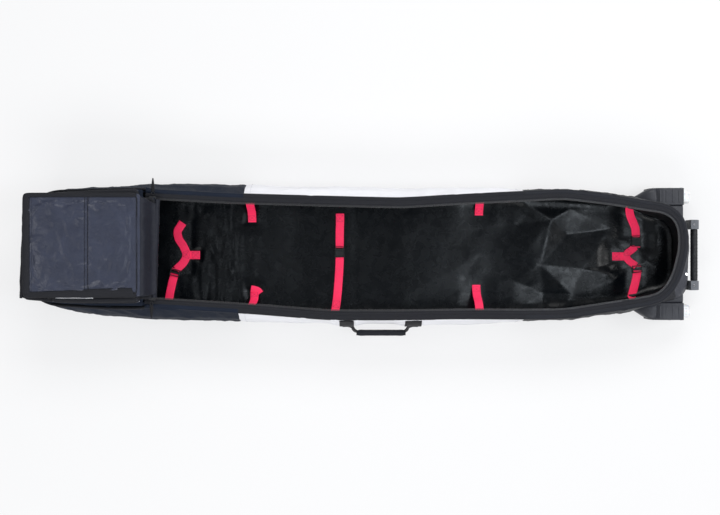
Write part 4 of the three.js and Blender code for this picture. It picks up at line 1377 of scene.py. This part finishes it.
def build_buckle(label, meeting, plug_body):
    """Side-release buckle: a socket with side windows and a plug whose two prongs fill them."""
    x, y = meeting
    z = FLOOR_Z + 0.0008
    at = Matrix.Translation((x, y, 0))

    def mirrored(points):
        return points + [(-a, b) for a, b in reversed(points)]

    def moulding(name, outline, low, high, bevel, body="bag_body", matrix=at):
        return slab(f"{label}_buckle_{name}", outline, z + low, z + high, black_plastic, body, bevel,
                    matrix)

    top = mirrored([(0.009, 0.0), (0.0135, -0.001), (0.0152, -0.004), (0.0118, -0.0065), (0.0108, -0.010),
                    (0.0125, -0.0135), (0.0152, -0.0155), (0.0152, -0.0165)])
    moulding("cover", top, 0.0058, 0.0090, 0.0009)
    moulding("floor", top, 0, 0.0026, 0.0006)
    moulding("core", mirrored([(0.0068, -0.0015), (0.0068, -0.0150)]), 0.001, 0.0075, 0.0005)
    groove = mirrored([(0.0045, -0.0045), (0.0045, -0.0055)])
    for k in range(3):
        moulding(f"grip_{k}", groove, 0.0088, 0.0096, 0.0003,
                 matrix=at @ Matrix.Translation((0, -0.0028 * k, 0)))
    cage = frame_bars(f"{label}_buckle_cage", (x, y - 0.0165), 0.0, 0.0153, 0.0035, z + 0.0008, z + 0.0078,
                      0.0028, [(-0.0025, 0.0022, 0.0), (0.0022, 0.0016, 0.0)])
    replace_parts(cage, f"{label}_buckle_socket")
    base = mirrored([(0.0142, 0.0006), (0.0148, 0.0035), (0.0140, 0.0062)])
    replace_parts(moulding("plug_base", base, 0.0010, 0.0080, 0.0009, plug_body), f"{label}_buckle_plug")
    frame_bars(f"{label}_buckle_plug_cage", (x, y + 0.0095), 0.0, 0.0140, 0.0035, z + 0.0010, z + 0.0075,
               0.0026, [(0.0022, 0.0024, 0.0)], plug_body)
    prong = [(0.0085, 0.0010), (0.0115, 0.0010), (0.0120, -0.004), (0.0146, -0.0072), (0.0150, -0.0110),
             (0.0132, -0.0128), (0.0118, -0.0105), (0.0095, -0.006)]
    moulding("prong_left", prong[::-1], 0.0028, 0.0056, 0.0005, plug_body)
    moulding("prong_right", [(-a, b) for a, b in prong], 0.0028, 0.0056, 0.0005, plug_body)


# ---- Wheels ----------------------------------------------------------------------------------------
def standing(centre, axis):
    """Placement of a part whose own Z points along axis."""
    turn = Vector((0, 0, 1)).rotation_difference(Vector(axis)).to_matrix().to_4x4()
    return Matrix.Translation(centre) @ turn


def steel_disc(name, centre, axis, radius, depth):
    """A short round part such as a screw head, standing along axis."""
    turns = np.linspace(0, 2 * math.pi, 24, False)
    outline = [(radius * math.cos(a), radius * math.sin(a)) for a in turns]
    slab(name, outline, 0, depth, steel, "bag_body", 0.0006, standing(centre, axis))


def screw(name, centre, axis):
    """Cross-head screw: a round head with two crossed slots."""
    radius = 0.0032
    steel_disc(f"{name}_head", centre, axis, radius, 0.0014)
    for k, (long, wide) in enumerate(((0.14, 0.6), (0.6, 0.14))):
        outline = [(a * long * radius, b * wide * radius) for a, b in ((-1, -1), (1, -1), (1, 1), (-1, 1))]
        slab(f"{name}_slot_{k}", outline, 0.0010, 0.00155, black_plastic, "bag_body", 0,
             standing(centre, axis))


def circle(centre, radius, count):
    """A closed ring of points, square to Y."""
    x, y, z = centre
    turns = np.linspace(0, 2 * math.pi, count)
    return [(x + radius * math.cos(a), y, z + radius * math.sin(a)) for a in turns]


def build_wheel(side):
    low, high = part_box(f"wheel_tyre_{side}")
    centre = (low + high) / 2
    body = f"wheel_{side}"
    for k, offset in enumerate((-0.0125, -0.0085, 0.0085, 0.0125)):
        radius = 0.0448 if abs(offset) < 0.01 else 0.0430
        ring = circle((centre.x, centre.y + offset, centre.z), radius, 97)
        tube(f"wheel_{side}_tread_{k}", ring, 0.0011, wheel_plastic, body, 6)
    spoke = [(0.012, -0.0028), (0.030, -0.0028), (0.030, 0.0028), (0.012, 0.0028)]
    flat = Matrix.Rotation(math.pi / 2, 4, "X")
    for k in range(5):
        turn = Matrix.Translation(centre) @ Matrix.Rotation(2 * math.pi * k / 5, 4, "Y") @ flat
        slab(f"wheel_{side}_spoke_{k}", spoke, -0.0145, 0.0145, wheel_plastic, body, 0.0008,
             turn)


def build_housing_details(side, sign):
    outer = sign * HOUSING_FACE
    for k, (x, z) in enumerate(((0.876, 0.020), (0.880, 0.082), (0.925, 0.096), (0.960, 0.096))):
        screw(f"housing_{side}_screw_{k}", (x, outer - sign * 0.0002, z), (0, sign, 0))
    low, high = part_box(f"wheel_tyre_{side}")
    centre = (low + high) / 2
    steel_disc(f"wheel_{side}_axle_cap", (centre.x, outer - sign * 0.0004, centre.z), (0, sign, 0), 0.0085,
               0.0018)
    for k in range(4):
        start = 0.893 + 0.019 * k
        end = start + 0.006
        outline = [(start, 0.1545), (end, 0.1545), (end, 0.1905), (start, 0.1905)]
        outline = [(x, sign * y) for x, y in outline][::sign]
        slab(f"housing_{side}_rib_{k}", outline, 0.1025, 0.1052, housing_plastic, bevel=0.0008)


def outer_wall_y(x, z, left):
    """How far from the middle line the outside of the wall is, also where the end is rounded."""
    row = int(np.clip(z / RIM_Z, 0, 1) * (ROWS - 1))
    on_side = (WAYS[:, 1] > 0.02) if left else (WAYS[:, 1] < -0.02)
    on_side &= ORIGINS[:, 0] > 0.4
    wall_x = (ORIGINS[:, 0] + WAYS[:, 0] * OUTSIDE[:, row])[on_side]
    wall_y = np.abs(WAYS[:, 1] * OUTSIDE[:, row])[on_side]
    order = np.argsort(wall_x)
    return float(np.interp(x, wall_x[order], wall_y[order]))


FAIRING_START = 0.796  # along X, where the skirt leaves the wall
FAIRING_END = 0.876  # where it meets the housing
FAIRING_Z = 0.09  # the height at which the wall is measured for it
HOUSING_FACE = 0.1970  # outer faces of the wheel housings, from the middle line


def build_fairing(side, sign):
    """Flared skirt that leads from the soft wall to the wheel housing, and the web between the two."""
    rings = []
    skirt = np.linspace(FAIRING_START, 0.884, 22)
    for x in [*skirt, 0.8845, *np.linspace(0.89, 0.963, 12), 0.9635]:
        flare = smoothstep(FAIRING_START, FAIRING_END, x)
        wall = outer_wall_y(x, FAIRING_Z, sign > 0)
        out = wall - 0.003 + (0.1967 - wall + 0.003) * flare if x < 0.8842 else 0.1482
        top = 0.060 + 0.0432 * flare + 0.004 * (1 - flare)
        inner = min(wall - 0.006, out - 0.002)
        radius = min(0.012, (out - inner) * 0.6)
        low = 0.006 if x < 0.9632 else top - 0.001
        ring = [(inner, top), ((inner + out - radius) / 2, top)]
        ring += [(out - radius + radius * math.sin(a), top - radius + radius * math.cos(a))
                 for a in np.linspace(0, math.pi / 2, 6)]
        ring += [(out - 0.001 - 0.003 * t**3, top - radius + (low - top + radius) * t)
                 for t in np.linspace(0.1, 1, 8)]
        rings.append([(x, sign * y, max(z, 0.006)) for y, z in ring])
    points = np.array(rings)
    sag = 0.0012 * fractal(points.reshape(-1, 3), 0.06, 270, 2).reshape(points.shape[:2])
    points[: len(skirt), :, 1] += sign * sag[: len(skirt)]
    faces = grid_faces(len(points), points.shape[1])
    if sign < 0:
        faces = [f[::-1] for f in faces]
    fairing = piece(f"housing_{side}_fairing", points.reshape(-1, 3), faces, housing_plastic)
    thicken(fairing, 0.0016)
    line = []
    for x in np.linspace(0.80, 0.950, 60):
        y = sign * (outer_wall_y(x, FAIRING_Z, sign > 0) + 0.0016)
        line.append((x, y, 0.070 + 0.036 * smoothstep(FAIRING_START, FAIRING_END, x)))
    tube(f"housing_{side}_fairing_piping", line, 0.0019, binding, sides=8)


# ---- Handles ---------------------------------------------------------------------------------------
def build_end_handle():
    low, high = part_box("end_handle_bar")
    middle = (low + high) / 2
    for k, y in enumerate(np.linspace(low.y + 0.016, high.y - 0.016, 13)):
        ring = circle((middle.x, y, middle.z), 0.0104, 49)
        tube(f"end_handle_ring_{k}", ring, 0.0011, black_plastic, sides=6)
    for side in ("left", "right"):
        low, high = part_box(f"end_handle_bracket_{side}")
        middle = (low + high) / 2
        for k, (z, lean) in enumerate(((0.0845, -0.84), (0.1355, 0.84))):
            axis = Vector((0.55, 0, lean)).normalized()
            screw(f"end_handle_{side}_screw_{k}", (low.x + 0.011, middle.y, z), axis)
    steel_disc("end_rivet", (0.9475, -0.059, RIM_Z + 0.0035), (0.25, 0, 1), 0.0042, 0.0024)


HANDLE_X = 0.0605  # the middle of the side handle
HANDLE_Z = 0.105


def build_side_handle_strap():
    """The webbing, sewn flat to the wall at both ends and standing off it in between."""
    plan = [(-0.052, -0.2158), (-0.034, -0.2162), (-0.0225, -0.2185), (-0.0195, -0.2245), (-0.011, -0.2305),
            (0.006, -0.2330), (HANDLE_X, -0.2335), (0.115, -0.2330), (0.132, -0.2305), (0.1405, -0.2245),
            (0.1435, -0.2185), (0.157, -0.2162), (0.172, -0.2158)]
    obj, line, side, up = strap(
        "side_handle_strap", [(x, y, HANDLE_Z) for x, y in plan], normal=(0, -1, 0), material=black_webbing,
        body=None, slot="webbing_black", flutter=0.0002, thickness=0.0026,
        roll=lambda path: 0.38 * bump_at(np.abs(path[:, 0] - HANDLE_X), 0.077, 0.016),
    )
    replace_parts(obj, "side_handle_webbing")
    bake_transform(obj)
    for word, start in (("tail", 0.002), ("wheel", distances(line)[-1] - 0.020)):
        box_stitch(f"side_handle_stitches_{word}", line, side, up, start, 0.018, black_thread,
                   slot="webbing_black")


def build_side_handle_patch(word):
    """The tab that holds one end of the webbing, laid on the shell over the CAD patch."""
    node = f"side_handle_patch_{word}"
    low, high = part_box(node)
    columns = np.flatnonzero((RIM_Y < -0.1) & (RIM_X > low.x - 0.003) & (RIM_X < high.x + 0.003))
    vertices, rows, uv = shell_grid(columns)
    kept = slice(2 + int(ROWS * 0.5), 2 + int(ROWS * 0.97))
    vertices = vertices.reshape(len(columns), rows, 3)[:, kept].copy()
    vertices[:, :, :2] += WAYS[columns][:, None] * 0.0019
    uv = uv.reshape(len(columns), rows, 2)[:, kept].reshape(-1, 2)
    tab = piece(f"{node}_tab", vertices.reshape(-1, 3), grid_faces(len(columns), vertices.shape[1]),
                black_webbing, uv=uv)
    thicken(tab, 0.0016, 0)
    inset = 0.003
    corners = [(low.x + inset, low.z + inset), (high.x - inset, low.z + inset),
               (high.x - inset, high.z - inset), (low.x + inset, high.z - inset)]
    line = []
    for (x0, z0), (x1, z1) in zip(corners, corners[1:] + corners[:1]):
        line += [(x0 + (x1 - x0) * t, low.y - 0.0003, z0 + (z1 - z0) * t) for t in np.linspace(0, 1, 12)]
    threads(f"{node}_stitches", line, (0, -1, 0), black_thread)
    rounded(nodes[node], 0.0012)


def build_side_handle_grip():
    """The padded wrap round the webbing: a rounded box that narrows at its ends."""
    low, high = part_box("side_handle_grip")
    centre = np.array((low + high) / 2)
    half = np.array((high - low) / 2)
    rings = []
    for t in np.linspace(-1, 1, 60):
        half_y = half[1] * (1.02 - 0.34 * abs(t) ** 9)
        half_z = half[2] * (0.95 - 0.1 * abs(t) ** 8)
        ring = []
        for a in np.linspace(0, 2 * math.pi, 40, endpoint=False):
            y, z = (math.copysign(abs(c) ** 0.7, c) for c in (math.cos(a), math.sin(a)))
            ring.append((t * half[0] * 1.06, y * half_y + 0.0004, z * half_z))
        rings.append(ring)
    vertices = np.array(rings).reshape(-1, 3) + centre
    grip = piece("side_handle_pad", vertices, grid_faces(60, 40, close_rows=True), flat_black, body=None)
    simulate_pad(grip, lambda p: np.abs(p[:, 0] - centre[0]) > half[0] * 0.97, 0.012, cap=0.0009)
    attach(grip, "side_handle")
    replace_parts(grip, "side_handle_grip")
    for k, sign in enumerate((1, -1)):
        line = [(x, centre[1] - 0.0072, centre[2] + sign * 0.0155)
                for x in np.linspace(low.x + 0.004, high.x - 0.004, 40)]
        threads(f"side_handle_pad_stitches_{k}", line, (0, -1, 0), black_thread, "side_handle")
    for k, sign in enumerate((-1, 1)):
        x = centre[0] + sign * half[0] * 1.045
        ring = [(x, centre[1] + math.cos(a) * half[1] * 0.70, centre[2] + math.sin(a) * half[2] * 0.84)
                for a in np.linspace(0, 2 * math.pi, 33)]
        tube(f"side_handle_pad_edge_{k}", ring, 0.0016, binding, "side_handle", 6)


# ---- Zip sliders and pulls -------------------------------------------------------------------------
def build_sliders():
    for side, sign in SIDES:
        low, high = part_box(f"zip_slider_{side}")
        middle = (low + high) / 2
        arch = [(middle.x + 0.0045 * math.cos(a), middle.y, high.z - 0.0024 + 0.0020 * math.sin(a))
                for a in np.linspace(0.15, math.pi - 0.15, 17)]
        tube(f"slider_{side}_bridge", arch, 0.0009, zip_plastic, f"slider_{side}", 8)
        low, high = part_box(f"zip_pull_{side}")
        root, tip = (low.y, high.y)[::sign]
        x, _, z = (low + high) / 2
        ring = [(x + 0.0042 * math.cos(a), root + sign * 0.0055 + 0.0050 * math.sin(a), z + 0.0006)
                for a in np.linspace(0, 2 * math.pi, 25)]
        tube(f"pull_{side}_eye", ring, 0.0008, zip_plastic, f"pull_{side}", 8)
        tab = [(x, root + sign * 0.0105, z), (x, (root + tip) / 2, z), (x, tip - sign * 0.0005, z)]
        obj, *_ = strap(f"pull_{side}_tab", tab, width=0.0098, material=black_webbing, body=f"pull_{side}",
                        slot="webbing_black", flutter=0.0001, thickness=0.0026, count=24, tip=0.3)
        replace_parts(obj, f"zip_pull_{side}")


# ---- Finishes of the CAD nodes that stay -----------------------------------------------------------
def finish_nodes():
    finishes = {
        "base_panel": flat_black, "end_handle_bar": black_plastic,
        "end_handle_bracket_left": grey_plastic, "end_handle_bracket_right": grey_plastic,
        "side_handle_patch_tail": flat_black, "side_handle_patch_wheel": flat_black,
        "zip_slider_left": zip_plastic, "zip_slider_right": zip_plastic,
    }
    for side, _ in SIDES:
        finishes[f"wheel_axle_{side}"] = steel
        finishes[f"wheel_bush_{side}"] = steel
        finishes[f"wheel_hub_{side}"] = wheel_plastic
        finishes[f"wheel_tyre_{side}"] = wheel_plastic
        finishes[f"wheel_housing_{side}"] = housing_plastic
    for name, material in finishes.items():
        for material_slot in nodes[name].material_slots:
            material_slot.link = "OBJECT"
            material_slot.material = material
    edges = {"end_handle_bar": 0.002, "end_handle_bracket": 0.0022, "zip_slider": 0.0009,
             "wheel_housing": 0.0012, "base_panel": 0.0012}
    for start, width in edges.items():
        for name in sorted(name for name in nodes if name.startswith(start)):
            weld = nodes[name].modifiers.new("weld", "WELD")
            weld.merge_threshold = 0.00002
            rounded(nodes[name], width, smooth=False)


# ---- Camera, floor and light -----------------------------------------------------------------------
CAMERA_HEIGHT = 3.7
CAMERA_LENS = 60.3
# name, place, size in X and Y, power in watts
LIGHTS = [
    ("key", (0.4, 2.5, 2.9), (3.2, 1.3), 100),
    ("fill", (-0.4, -2.5, 2.9), (3.2, 1.3), 84),
    ("end", (3.3, 0.3, 2.4), (1.4, 1.4), 60),
    ("tail", (-3.1, 0.0, 2.6), (1.4, 1.4), 30),
    # the small ones stand where the facets of the floor lining and of the lid mirror them
    ("gloss", (1.30, -0.35, 3.5), (0.8, 0.8), 27),
    ("tail_gloss", (-0.86, 0.0, 3.5), (0.25, 0.6), 3.2),
]


def build_lights():
    for name, place, size, power in LIGHTS:
        data = bpy.data.lights.new(name, "AREA")
        data.color = (0.84, 0.92, 1.0) if "gloss" in name else (1.0, 1.0, 1.0)
        data.shape = "RECTANGLE"
        data.size, data.size_y = size
        data.energy = power
        light = bpy.data.objects.new(name, data)
        light.location = place
        target = Vector((place[0] * 0.3, 0, 0.1))
        light.rotation_euler = (target - Vector(place)).to_track_quat("-Z", "Y").to_euler()
        bpy.context.scene.collection.objects.link(light)


def build_stage():
    scene = bpy.context.scene
    camera_data = bpy.data.cameras.new("camera")
    camera_data.lens = CAMERA_LENS
    camera_data.sensor_width = 36
    camera = bpy.data.objects.new("camera", camera_data)
    camera.location = (0, -0.0105, CAMERA_HEIGHT)
    scene.collection.objects.link(camera)
    scene.camera = camera
    floor_paint = Shader("floor_paint", (0.20, 0.20, 0.202), 0.9)
    floor_paint.set(floor_paint.principled, **{"Emission Color": (0.98, 0.98, 0.985, 1)},
                    Emission_Strength=0.65)
    vector = floor_paint.place("Object")
    floor_paint.relief(floor_paint.noise(vector, 60, 3), 0.0002)
    half = 9
    corners = [(-half, -half, 0), (half, -half, 0), (half, half, 0), (-half, half, 0)]
    mesh = bpy.data.meshes.new("studio_floor")
    mesh.from_pydata(corners, [], [(0, 1, 2, 3)])
    mesh.materials.append(floor_paint.material)
    floor = bpy.data.objects.new("studio_floor", mesh)
    scene.collection.objects.link(floor)
    world = bpy.data.worlds.new("world")
    world.use_nodes = True
    background = world.node_tree.nodes["Background"]
    background.inputs["Color"].default_value = (0.95, 0.97, 1.0, 1)
    background.inputs["Strength"].default_value = 0.30
    scene.world = world
    scene.view_settings.view_transform = "Standard"


build_stage()
build_lights()
build_shell()
build_piping()
build_floor()
build_wall_lining()
build_binding()
build_zip()
build_pads()
build_creases()
build_lid_seams()
build_rolls()
build_middle_strap()
build_tail_strap()
build_wheel_strap()
build_pole_straps()
build_buckle("middle", (-0.062, 0.010), "middle_plug")
build_buckle("wheel", (0.843, 0.043), "wheel_end_plug")
for side, sign in SIDES:
    build_wheel(side)
    build_housing_details(side, sign)
    build_fairing(side, sign)
build_end_handle()
build_side_handle_strap()
build_side_handle_patch("tail")
build_side_handle_patch("wheel")
build_side_handle_grip()
build_sliders()
finish_nodes()
